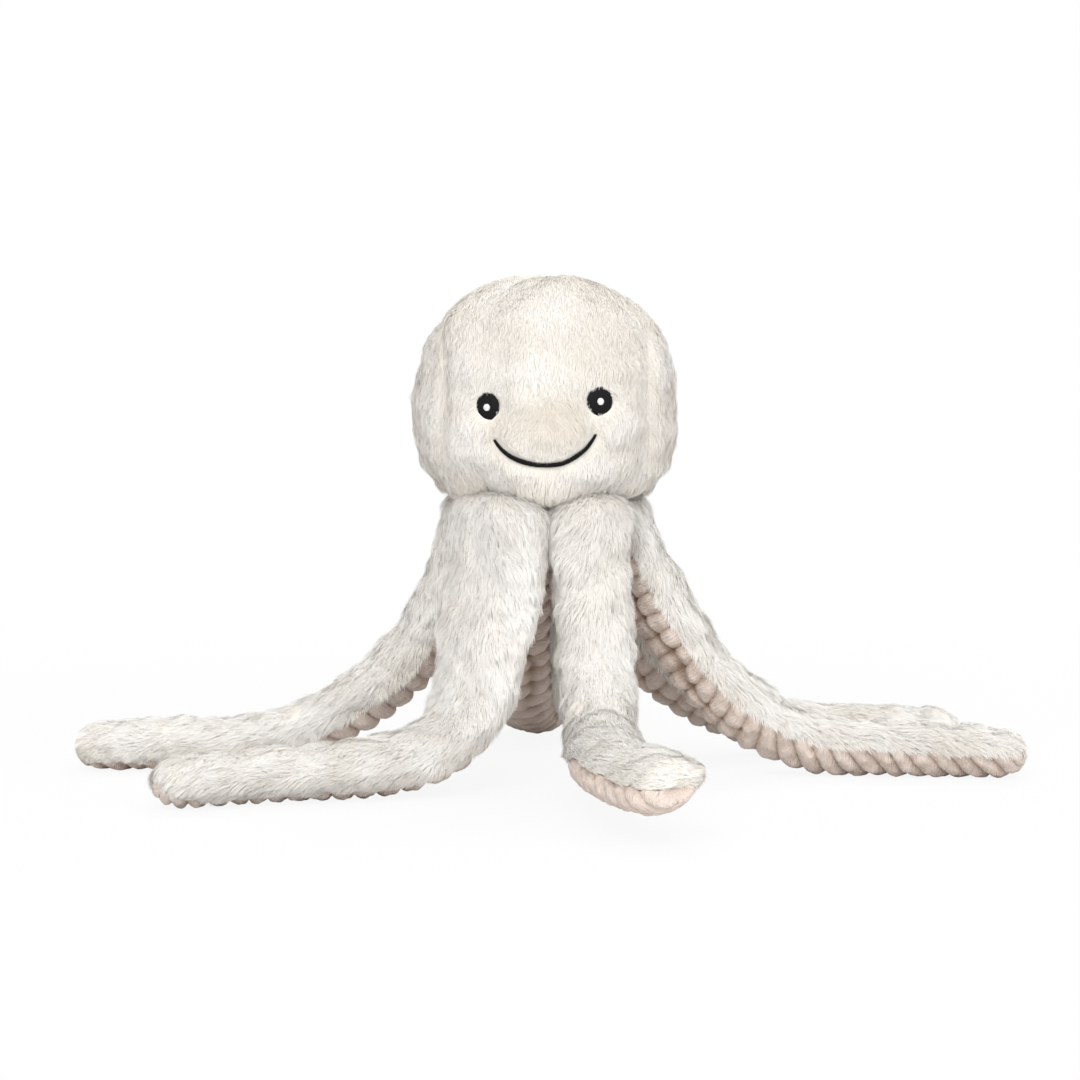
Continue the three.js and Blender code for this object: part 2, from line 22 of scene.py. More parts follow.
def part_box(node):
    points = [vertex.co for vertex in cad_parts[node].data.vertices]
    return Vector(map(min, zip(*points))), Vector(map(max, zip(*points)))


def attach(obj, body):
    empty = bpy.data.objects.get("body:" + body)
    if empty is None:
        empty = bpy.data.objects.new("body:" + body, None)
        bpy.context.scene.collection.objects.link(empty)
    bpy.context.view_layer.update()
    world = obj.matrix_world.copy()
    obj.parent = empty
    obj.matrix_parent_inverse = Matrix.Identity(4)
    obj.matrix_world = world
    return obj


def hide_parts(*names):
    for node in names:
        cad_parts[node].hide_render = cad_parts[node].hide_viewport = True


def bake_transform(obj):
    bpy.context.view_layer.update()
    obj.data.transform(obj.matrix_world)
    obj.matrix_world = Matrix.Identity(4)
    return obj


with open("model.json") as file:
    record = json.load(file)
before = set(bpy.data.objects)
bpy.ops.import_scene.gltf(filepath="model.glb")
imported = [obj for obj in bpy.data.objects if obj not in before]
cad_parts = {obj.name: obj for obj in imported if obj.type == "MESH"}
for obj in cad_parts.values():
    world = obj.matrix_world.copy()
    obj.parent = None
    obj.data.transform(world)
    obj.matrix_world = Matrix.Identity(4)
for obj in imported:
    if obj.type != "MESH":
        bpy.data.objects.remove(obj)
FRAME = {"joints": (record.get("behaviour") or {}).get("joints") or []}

Array = np.ndarray
MM = 0.001
PALETTE_MAP = "OFBake"
CLOTH_MAP = "cloth"
FURROW = "furrow"
EVEN_TONE = 0.68
log = logging.getLogger("octopus")


class Tone(Enum):
    """The named colours of the toy, in linear light."""

    PILE_TIP = (0.970, 0.960, 0.935)
    PILE_MIDDLE = (0.955, 0.935, 0.897)
    PILE_ROOT = (0.930, 0.900, 0.850)
    WARM_TIP = (0.855, 0.815, 0.745)
    WARM_MIDDLE = (0.825, 0.775, 0.697)
    WARM_ROOT = (0.755, 0.690, 0.600)
    RIB_CREST = (0.845, 0.725, 0.650)
    RIB_FLANK = (0.745, 0.620, 0.545)
    # painted shade: the colour that the ribs take deep in their furrows
    RIB_FURROW_SHADE = (0.400, 0.280, 0.205)
    FILL = (0.880, 0.880, 0.850)
    BLACK_THREAD = (0.006, 0.006, 0.007)
    WHITE_THREAD = (0.880, 0.880, 0.870)
    FLOOR = (0.720, 0.720, 0.720)


def unit(vectors: Array) -> Array:
    """Each vector scaled to length one.

    Args:
        vectors: Rows of three numbers.

    Returns:
        Rows of the same directions, where a row of zeros stays as it is.
    """
    lengths = np.linalg.norm(vectors, axis=-1, keepdims=True)
    return vectors / np.maximum(lengths, 1e-12)


def hump(distance: Array, reach: float) -> Array:
    """A soft round hump: one at distance zero, and nearly zero past twice the reach."""
    return np.exp(-((distance / reach) ** 2))


def drift(points: Array, size: float, seed: int) -> Array:
    """Smooth wandering values over space, made of seeded waves.

    Args:
        points: Places in millimetres.
        size: Rough distance between one hill and the next.
        seed: Number that fixes the waves.

    Returns:
        One value for each place, mostly between minus one and one.
    """
    waves = 10
    rng = np.random.default_rng(seed)
    ways = unit(rng.normal(size=(waves, 3))) * rng.uniform(0.6, 1.7, (waves, 1))
    phases = rng.uniform(0, 2 * math.pi, waves)
    return np.sin(points @ (ways * 2 * math.pi / size).T + phases).sum(1) / math.sqrt(waves)


def eased(value: Array, low: float, high: float) -> Array:
    """A smooth step from zero at low to one at high."""
    share = np.clip((value - low) / (high - low), 0, 1)
    return share * share * (3 - 2 * share)


@dataclass(frozen=True)
class Wander:
    """Slow random hills and hollows over a cloth: their height, their distance and their seed."""

    height: float
    size: float
    seed: int

    def over(self, points: Array, number: int = 0) -> Array:
        """The hills' height at places, for one of several cloths that differ by number."""
        return self.height * drift(points, self.size, self.seed + number)


@dataclass(frozen=True)
class Swell:
    """A soft hill, or a dent where its height is negative, at a place on the face."""

    height: float
    across: float
    above: float
    reach: float
    across_share: float = 1.0
    above_share: float = 1.0

    def over(self, x: Array, z: Array) -> Array:
        """Its height at places across and above."""
        x, z = (x - self.across) * self.across_share, (z - self.above) * self.above_share
        return self.height * hump(np.hypot(x, z), self.reach)


class Sheet:
    """Meshes that start from an operator's grid and are laid over a formula's surface."""

    @staticmethod
    def over(surface, columns: int, rows: int, weld: float = 0.02) -> bpy.types.Mesh:
        """Lays a grid over a surface.

        Args:
            surface: Function of two arrays, across and along from 0 to 1, that gives places.
            columns: Number of faces across.
            rows: Number of faces along.
            weld: Distance under which corners become one.

        Returns:
            A mesh in millimetres.
        """
        bm = bmesh.new()
        bm.loops.layers.uv.new(CLOTH_MAP)
        bmesh.ops.create_grid(bm, x_segments=columns, y_segments=rows, size=1, calc_uvs=True)
        corners = np.array([v.co for v in bm.verts]) / 2 + 0.5
        for vertex, place in zip(bm.verts, surface(corners[:, 0], corners[:, 1])):
            vertex.co = place
        bmesh.ops.remove_doubles(bm, verts=bm.verts, dist=weld)
        return Sheet.meshed(bm)

    @staticmethod
    def meshed(bm: bmesh.types.BMesh) -> bpy.types.Mesh:
        """Turns a bmesh into a smooth mesh and frees it."""
        bmesh.ops.triangulate(bm, faces=bm.faces)
        mesh = bpy.data.meshes.new("sheet")
        bm.to_mesh(mesh)
        bm.free()
        mesh.shade_smooth()
        return mesh

    @staticmethod
    def thickened(mesh: bpy.types.Mesh, thickness: float) -> None:
        """Gives a mesh a wall on its inner side, by plain steps that a sharp crease can't throw far."""
        bm = bmesh.new()
        bm.from_mesh(mesh)
        bm.normal_update()
        steps = [(corner, corner.normal * thickness) for corner in bm.verts]
        bmesh.ops.extrude_face_region(bm, geom=bm.faces[:])
        for corner, step in steps:
            corner.co -= step
        bmesh.ops.triangulate(bm, faces=bm.faces)
        bm.to_mesh(mesh)
        bm.free()


@dataclass
class Skin:
    """A cloth surface that pile grows on: its corners, triangles and outward directions."""

    points: Array
    triangles: Array
    normals: Array

    @classmethod
    def of(cls, mesh: bpy.types.Mesh) -> Skin:
        """Reads a mesh of triangles."""
        points = np.zeros(len(mesh.vertices) * 3)
        mesh.vertices.foreach_get("co", points)
        normals = np.zeros(len(mesh.vertices) * 3)
        mesh.vertex_normals.foreach_get("vector", normals)
        mesh.calc_loop_triangles()
        triangles = np.zeros(len(mesh.loop_triangles) * 3, np.int64)
        mesh.loop_triangles.foreach_get("vertices", triangles)
        return cls(points.reshape(-1, 3), triangles.reshape(-1, 3), normals.reshape(-1, 3))

    def scattered(self, weights: Array, density: float, rng) -> tuple[Array, Array]:
        """Picks places evenly over the surface.

        Args:
            weights: For each corner, the share of the density wanted there.
            density: Places to a square millimetre.
            rng: Seeded source of numbers.

        Returns:
            The triangle of each place, and its three corner shares.
        """
        a, b, c = (self.points[self.triangles[:, i]] for i in range(3))
        areas = np.linalg.norm(np.cross(b - a, c - a), axis=1) / 2
        wanted = areas * weights[self.triangles].mean(1)
        total = np.cumsum(wanted)
        count = int(total[-1] * density)
        chosen = np.searchsorted(total, rng.uniform(0, total[-1], count))
        s, t = rng.uniform(size=(2, count))
        over = s + t > 1
        s, t = np.where(over, 1 - s, s), np.where(over, 1 - t, t)
        return np.minimum(chosen, len(areas) - 1), np.stack([1 - s - t, s, t], 1)

    def at(self, values: Array, chosen: Array, shares: Array) -> Array:
        """Corner values carried to places inside triangles."""
        picked = values[self.triangles[chosen]]
        return np.einsum("ij,ij...->i...", shares, picked)


@dataclass(frozen=True)
class Touch:
    """What one part of a skin does to its pile: shares of length and lean, and steps of density and tone."""

    length: float = 0.0
    lean: float = 0.0
    density: float = 0.0
    tone: float = 0.0


@dataclass
class Combing:
    """How the pile lies at each corner of a skin: its direction, and shares of its usual measures."""

    nap: Array
    length: Array
    density: Array
    lean: Array
    tone: Array

    @classmethod
    def even(cls, nap: Array) -> Combing:
        """Pile of its usual measures all over."""
        ones = np.ones(len(nap))
        return cls(nap, ones.copy(), ones.copy(), ones.copy(), ones * EVEN_TONE)

    def touch(self, weight: Array, change: Touch) -> None:
        """Changes the pile where the weight is one, and less where it is less."""
        self.length *= 1 + change.length * weight
        self.lean *= 1 + change.lean * weight
        self.density += change.density * weight
        self.tone += change.tone * weight

    def draw(self, x: Array, z: Array, weight: Array) -> None:
        """Combs the pile of the face in a direction, across and up, as strongly as the weight says."""
        self.nap += unit(np.stack([x, np.zeros_like(x), z], 1)) * weight[:, None]


@dataclass(frozen=True)
class Pile:
    """How pile grows: a strand is a thin kite, folded in the middle, that leans with the nap."""

    density: float = 4.1
    length: float = 7.4
    width: float = 0.24
    sunk: float = 0.8
    lean_deg: float = 74.0
    lean_spread_deg: float = 3.0
    turn_deg: float = 9.0
    twist_deg: float = 7.0
    tuft_spacing: float = 2.6
    tuft_pull: float = 0.06
    length_spread: float = 0.2
    tone_spread: float = 0.06
    own_share: float = 0.6
    tuft_turn_share: float = 0.5
    tuft_lean_share: float = 0.45
    tuft_tone_share: float = 0.4
    shortest_share: float = 0.4
    bends: tuple[float, float] = (0.6, 1.25)
    pull_range: tuple[float, float] = (0.5, 1.3)
    width_range: tuple[float, float] = (0.7, 1.25)
    middle_pull: float = 0.35
    turn_wander: Wander = Wander(0.8, 22, 0)
    tone_wander: Wander = Wander(0.2, 38, 2)
    seed: int = 7

    def grown(self, skin: Skin, combing: Combing) -> tuple[Array, Array, Array]:
        """Grows the strands.

        Args:
            skin: The surface that they grow on.
            combing: How they lie on it.

        Returns:
            Places, triangles, and for each triangle corner its tone and its share of the length.
        """
        rng = np.random.default_rng(self.seed)
        chosen, shares = skin.scattered(combing.density, self.density, rng)
        normal = unit(skin.at(skin.normals, chosen, shares))
        root = skin.at(skin.points, chosen, shares) - normal * self.sunk
        flow = skin.at(combing.nap, chosen, shares)
        flow = unit(flow - normal * np.sum(flow * normal, 1, keepdims=True))
        count = len(root)
        tuft = self.tufts(root, rng)
        own, shared = rng.normal(size=(2, 4, count))
        shared = shared[:, tuft]
        turn = self.own_share * own[0] + self.tuft_turn_share * shared[0]
        turn = np.radians(self.turn_deg) * (turn + self.turn_wander.over(root, self.seed))
        flow = flow * np.cos(turn)[:, None] + np.cross(normal, flow) * np.sin(turn)[:, None]
        lean = self.lean_deg * skin.at(combing.lean, chosen, shares)
        spread = self.own_share * own[1] + self.tuft_lean_share * shared[1]
        lean = np.radians(lean + self.lean_spread_deg * spread)
        length = self.length * skin.at(combing.length, chosen, shares)
        spread = self.own_share * own[2] + self.own_share * shared[2]
        length *= np.maximum(1 + self.length_spread * spread, self.shortest_share)
        low, high = (
            normal * np.cos(lean * bend)[:, None] + flow * np.sin(lean * bend)[:, None]
            for bend in self.bends
        )
        middle = root + low * length[:, None] / 2
        tip = middle + high * length[:, None] / 2
        pull = (self.tuft_pull * rng.uniform(*self.pull_range, count))[:, None]
        middle += self.middle_pull * pull * (middle[tuft] - middle)
        tip += pull * (tip[tuft] - tip)
        side = unit(np.cross(tip - root, normal))
        twist = np.radians(self.twist_deg) * own[3]
        side = side * np.cos(twist)[:, None] + np.cross(unit(tip - root), side) * np.sin(twist)[:, None]
        half = (self.width / 2 * rng.uniform(*self.width_range, count))[:, None]
        kite = np.stack([root, middle + side * half, middle - side * half, tip], 1)
        tone = skin.at(combing.tone, chosen, shares) + self.tone_wander.over(root, self.seed)
        spread = rng.normal(size=count) + self.tuft_tone_share * shared[3]
        tone = np.clip(tone + self.tone_spread * spread, 0.03, 0.97)
        faces = np.arange(count)[:, None, None] * 4 + np.array([[0, 1, 2], [2, 1, 3]])
        marks = np.empty((count, 2, 3, 2))
        marks[..., 0] = tone[:, None, None] + np.array([[0, 0.02, -0.02], [-0.02, 0.02, 0]])
        marks[..., 1] = np.array([[0.04, 0.5, 0.5], [0.5, 0.5, 0.96]])
        return kite.reshape(-1, 3), faces.reshape(-1, 3), marks.reshape(-1, 3, 2)

    def tufts(self, root: Array, rng) -> Array:
        """Gathers strands into tufts.

        Args:
            root: Where each strand grows.
            rng: Seeded source of numbers.

        Returns:
            For each strand, the number of the strand that leads its tuft.
        """
        leaders = max(int(len(root) / (self.density * self.tuft_spacing**2)), 1)
        tree = KDTree(leaders)
        for i in range(leaders):
            tree.insert(root[i], i)
        tree.balance()
        reach = root + rng.normal(scale=0.25 * self.tuft_spacing, size=root.shape)
        return np.array([tree.find(place)[1] for place in reach])


def cloth_marks(count: int, rng) -> Array:
    """Small places near the root end of the pile's palette, for the faces of its backing cloth."""
    corner = np.array([[0.0, 0.15], [0.01, 0.15], [0.0, 0.18]])
    return corner + np.stack([rng.uniform(0.3, 0.6, count), np.zeros(count)], 1)[:, None, :]


class Wiring:
    """The nodes of one material or world."""

    def __init__(self, owner: bpy.types.Material | bpy.types.World) -> None:
        """Turns the owner's nodes on."""
        owner.use_nodes = True
        self.tree = owner.node_tree

    def feed(self, node: bpy.types.Node, inputs: dict) -> bpy.types.Node:
        """Fills a node's inputs, by name or number, with a tone, a plain value or a link to a socket."""
        for name, value in inputs.items():
            if isinstance(value, bpy.types.NodeSocket):
                self.tree.links.new(value, node.inputs[name])
            else:
                plain = (*value.value, 1) if isinstance(value, Tone) else value
                node.inputs[name].default_value = plain
        return node

    def node(self, kind: str, inputs: dict | None = None, **settings) -> bpy.types.Node:
        """Adds a node.

        Args:
            kind: Its type, without the word that all types begin with.
            inputs: What its inputs are filled with.
            settings: Its own settings.

        Returns:
            The node.
        """
        node = self.tree.nodes.new(f"ShaderNode{kind}")
        for name, value in settings.items():
            setattr(node, name, value)
        return self.feed(node, inputs or {})

    def ramp(self, factor, stops: list[tuple[float, Tone]]) -> bpy.types.NodeSocket:
        """A colour ramp through named tones, fed by a factor."""
        node = self.node("ValToRGB", {0: factor})
        elements = node.color_ramp.elements
        elements[0].position, elements[1].position = stops[0][0], stops[-1][0]
        elements[0].color, elements[1].color = (*stops[0][1].value, 1), (*stops[-1][1].value, 1)
        for place, tone in stops[1:-1]:
            elements.new(place).color = (*tone.value, 1)
        return node.outputs["Color"]

    def mixed(self, factor, first, second) -> bpy.types.NodeSocket:
        """One colour passing into another as the factor goes from 0 to 1."""
        return self.node("Mix", {"Factor": factor, 6: first, 7: second}, data_type="RGBA").outputs[2]

    def noise(self, size: float, detail: float = 2.0) -> bpy.types.NodeSocket:
        """Noise over the piece, whose grains are about size millimetres apart."""
        place = self.node("TexCoord").outputs["Object"]
        scale = 1 / (size * MM)
        return self.node("TexNoise", {"Scale": scale, "Detail": detail, "Vector": place}).outputs["Fac"]

    def bump(self, shader: bpy.types.Node, height: bpy.types.NodeSocket, depth: float) -> None:
        """Raises the surface by up to depth millimetres where the height is one."""
        node = self.node("Bump", {"Distance": depth * MM, "Height": height})
        self.feed(shader, {"Normal": node.outputs["Normal"]})

    def uv(self, name: str) -> bpy.types.NodeSocket:
        """Places on one of the piece's maps."""
        return self.node("UVMap", uv_map=name).outputs["UV"]


@dataclass(frozen=True)
class Finish:
    """What all the toy's finishes share: a material made once and used by each piece."""

    name: str
    roughness: float
    sheen: float
    gloss: float = 0.2

    def made(self) -> bpy.types.Material:
        """The Blender material, built at its first use under a name that the frame's own don't have."""
        name = f"{self.name}_finish"
        found = bpy.data.materials.get(name)
        if found:
            return found
        material = bpy.data.materials.new(name)
        wiring = Wiring(material)
        looks = {"Roughness": self.roughness, "Sheen Weight": self.sheen, "Sheen Roughness": 0.4}
        looks["Specular IOR Level"] = self.gloss
        self.wired(wiring, wiring.feed(wiring.tree.nodes["Principled BSDF"], looks))
        return material

    def wired(self, wiring: Wiring, shader: bpy.types.Node) -> None:
        """Builds the pattern that feeds the shader."""


@dataclass(frozen=True)
class FurFinish(Finish):
    """Ivory pile: its map holds each strand's tone across and its root to tip along."""

    name: str = "ivory_fur"
    roughness: float = 0.9
    sheen: float = 0.15
    stops: tuple[float, float, float] = (0.05, 0.45, 0.9)

    def wired(self, wiring: Wiring, shader: bpy.types.Node) -> None:
        """Colours the pile from its own map."""
        split = wiring.node("SeparateXYZ", {0: wiring.uv(PALETTE_MAP)})
        pale, warm = (
            wiring.ramp(split.outputs["Y"], list(zip(self.stops, tones)))
            for tones in (
                (Tone.PILE_ROOT, Tone.PILE_MIDDLE, Tone.PILE_TIP),
                (Tone.WARM_ROOT, Tone.WARM_MIDDLE, Tone.WARM_TIP),
            )
        )
        wiring.feed(shader, {"Base Color": wiring.mixed(split.outputs["X"], warm, pale)})


@dataclass(frozen=True)
class RibFinish(Finish):
    """Dusty beige velour in plump ribs, fine-grained on the crests, with painted shade making the furrows
    darker and warmer.
    """

    name: str = "ribbed_plush"
    roughness: float = 0.9
    sheen: float = 0.12
    grain_depth: float = 0.5

    def wired(self, wiring: Wiring, shader: bpy.types.Node) -> None:
        """Colours the ribs, with painted shade by their depth, and roughens them with fine pile."""
        depth = wiring.node("Attribute", attribute_name=FURROW).outputs["Fac"]
        lines = self.wales(wiring)
        velour = wiring.mixed(lines, Tone.RIB_FLANK, Tone.RIB_CREST)
        crest = wiring.mixed(wiring.noise(3.5), velour, Tone.RIB_CREST)
        # painted shade: the deeper a corner lies in a furrow, the more it takes the dark furrow colour
        wiring.feed(shader, {"Base Color": wiring.mixed(depth, crest, Tone.RIB_FURROW_SHADE)})
        both = wiring.node("Math", {0: wiring.noise(0.7, 4.0), 1: lines}, operation="ADD")
        wiring.bump(shader, both.outputs[0], self.grain_depth)

    @staticmethod
    def wales(wiring: Wiring) -> bpy.types.NodeSocket:
        """Fine rows of pile that run along each rib."""
        stretch = wiring.node("Mapping", {"Scale": (10, 330, 1), "Vector": wiring.uv(CLOTH_MAP)})
        noise = wiring.node("TexNoise", {"Scale": 1, "Vector": stretch.outputs["Vector"]})
        limits = {"From Min": 0.35, "From Max": 0.65, "Value": noise.outputs["Fac"]}
        return wiring.node("MapRange", limits).outputs["Result"]


@dataclass(frozen=True)
class FillFinish(Finish):
    """Loose fibre stuffing: white and wispy."""

    name: str = "fibre_fill"
    roughness: float = 1.0
    sheen: float = 0.3

    def wired(self, wiring: Wiring, shader: bpy.types.Node) -> None:
        """Mottles the fill with soft wisps."""
        wisps = wiring.noise(4.0, 6.0)
        wiring.feed(shader, {"Base Color": wiring.mixed(wisps, Tone.WHITE_THREAD, Tone.FILL)})
        wiring.bump(shader, wisps, 1.5)


@dataclass(frozen=True)
class ThreadFinish(Finish):
    """Embroidery thread: a soft gloss along fine twisted strands."""

    name: str = "black_thread"
    roughness: float = 0.6
    sheen: float = 0.0
    gloss: float = 0.15
    tone: Tone = Tone.BLACK_THREAD

    def wired(self, wiring: Wiring, shader: bpy.types.Node) -> None:
        """Gives the thread its colour and the grain of its twist."""
        grain = wiring.noise(0.25)
        darker = wiring.node("HueSaturation", {"Color": self.tone, "Value": 0.7}).outputs["Color"]
        wiring.feed(shader, {"Base Color": wiring.mixed(grain, darker, self.tone)})
        wiring.bump(shader, grain, 0.05)


class Piece:
    """Finished objects: each one has its place in its mesh and a finish, and the head's pieces a body to ride
    on.
    """

    @staticmethod
    def placed(name: str, mesh: bpy.types.Mesh, finish: Finish) -> bpy.types.Object:
        """Puts a mesh in millimetres into the scene as a named piece in metres.

        Args:
            name: The piece's name.
            mesh: Its mesh.
            finish: Its finish.

        Returns:
            The piece's object, at the origin.
        """
        mesh.transform(Matrix.Scale(MM, 4))
        mesh.materials.clear()
        mesh.materials.append(finish.made())
        mesh.name = name
        piece = bpy.data.objects.new(name, mesh)
        bpy.context.scene.collection.objects.link(piece)
        log.info("%s: %d triangles", name, len(mesh.polygons))
        return piece

    @staticmethod
    def on_head(piece: bpy.types.Object, node: str, slot: str) -> bpy.types.Object:
        """Fixes a piece to the head in place of one of the frame's solids."""
        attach(piece, "head")
        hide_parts(node)
        return piece

    @staticmethod
    def furred(name: str, mesh: bpy.types.Mesh, pile: Pile, combing: Combing) -> bpy.types.Object:
        """Grows pile on a backing cloth and makes one piece of both.

        Args:
            name: The piece's name.
            mesh: The backing cloth's outer face, in millimetres.
            pile: How the pile grows.
            combing: How it lies at each corner of the mesh.

        Returns:
            The piece's object.
        """
        strands, strand_faces, strand_marks = pile.grown(Skin.of(mesh), combing)
        Sheet.thickened(mesh, 1.2)
        cloth = Skin.of(mesh)
        rng = np.random.default_rng(pile.seed)
        points = np.concatenate([cloth.points, strands])
        faces = np.concatenate([cloth.triangles, strand_faces + len(cloth.points)])
        marks = np.concatenate([cloth_marks(len(cloth.triangles), rng), strand_marks])
        whole = bpy.data.meshes.new(name)
        whole.vertices.add(len(points))
        whole.loops.add(faces.size)
        whole.polygons.add(len(faces))
        whole.vertices.foreach_set("co", points.ravel())
        whole.polygons.foreach_set("loop_start", np.arange(0, faces.size, 3))
        whole.loops.foreach_set("vertex_index", faces.ravel().astype(np.int32))
        whole.uv_layers.new(name=PALETTE_MAP).data.foreach_set("uv", marks.ravel())
        whole.update(calc_edges=True)
        whole.validate()
        whole.shade_smooth()
        bpy.data.meshes.remove(mesh)
        return Piece.placed(name, whole, FurFinish())


@dataclass(frozen=True)
class ArmPose:
    """How one arm lies, in degrees and as shares of the toy's sizes.

    The frame's solids need the fields up to pull_shares. The rest is for looks: how far below each side
    the seams run at the tip, on which side the arm presses against its neighbour, and how far the tip's
    pile is combed sideways.
    """

    name: str
    root_deg: float
    drop_deg: float
    steep_deg: float
    reach_share: float
    land_deg: float
    lay_deg: float
    tip_deg: float
    land_raise_share: float
    tip_raise_share: float
    knee_share: float
    roll_degs: tuple[float, float, float]
    width_shares: tuple[float, float, float]
    pull_shares: tuple[float, float]
    tip_seam_degs: tuple[float, float] = (19.0, 19.0)
    crowded_way: float = 0.0
    tip_comb: float = 0.0


ARM_POSES = (
    ArmPose(
        "front_right", 0, -6, 72, 0.82, -3, -6, -6, 0, 0, 0.48,
        (-20, -30, -22), (0.94, 0.96, 0.94), (0.42, 0.34),
    ),
    ArmPose(
        "back_right", 60, 40, 74, 1.02, 13, 1, -4, 0, 0, 0.45,
        (0, -8, -4), (0.94, 0.96, 0.94), (0.44, 0.42),
    ),
    ArmPose(
        "back", 111, 90, 72, 0.86, 84, 76, 60, 0, 0, 0.48,
        (0, 0, 0), (1, 1.04, 0.96), (0.38, 0.4),
    ),
    ArmPose(
        "back_left", 169, 172, 82, 1, 177, 179, 183, 0, 0, 0.42,
        (0, 4, 4), (0.94, 0.98, 0.98), (0.42, 0.42), (40, 10),
    ),
    ArmPose(
        "front_left", 236, 228, 80, 0.82, 207, 197, 214, 0, 0, 0.48,
        (0, 0, 4), (1.26, 1.2, 1), (0.66, 0.6), (48, 5), 1,
    ),
    ArmPose(
        "front", 304, 300, 83, 0.58, 274, 271, 302, 0.08, 0.1, 0.46,
        (0, 6, 22), (0.9, 0.9, 1.14), (0.62, 0.42), (34, -30), -1, 0.45,
    ),
)


@dataclass(frozen=True)
class ToySizes:
    """The toy's driving sizes, the same as the frame's."""

    neck_height: float = 141.0
    head_width: float = 131.0
    head_depth: float = 122.0
    crown_rise: float = 67.0
    cheek_height: float = 41.0
    cheek_curve: float = 78.0
    crown_roundness: float = 2.35
    side_seam: float = 50.0
    arm_length: float = 262.0
    arm_width: float = 42.0
    arm_thickness: float = 34.0
    root_ring_radius: float = 39.0
    root_socket: float = 3.0
    root_thickness: float = 27.0
    root_width: float = 36.0
    tip_thickness: float = 26.0
    tip_width: float = 34.0
    swell_length: float = 55.0
    tip_round: float = 17.0
    floor_cut: float = 0.5
    face_roll_deg: float = 3.0
    face_shift: float = 1.7
    eye_width: float = 12.0
    eye_height: float = 13.2
    eye_spacing: float = 55.5
    eye_level: float = 47.4
    glint_diameter: float = 3.2
    smile_width: float = 49.0
    smile_dip: float = 13.5
    smile_level: float = 31.5
    smile_thread: float = 2.2
    smile_tip_thread: float = 1.0

    @property
    def cheek_level(self) -> float:
        """Height at which the head is widest."""
        return self.neck_height + self.cheek_height

    @property
    def root_height(self) -> float:
        """Height of the arms' root hinges."""
        return self.neck_height + self.root_socket - self.root_thickness / 2


def heading(deg: float, dip_deg: float = 0.0) -> Array:
    """A direction that points deg round from +X and dip_deg below level."""
    turn, dip = math.radians(deg), math.radians(dip_deg)
    return np.array([math.cos(dip) * math.cos(turn), math.cos(dip) * math.sin(turn), -math.sin(dip)])


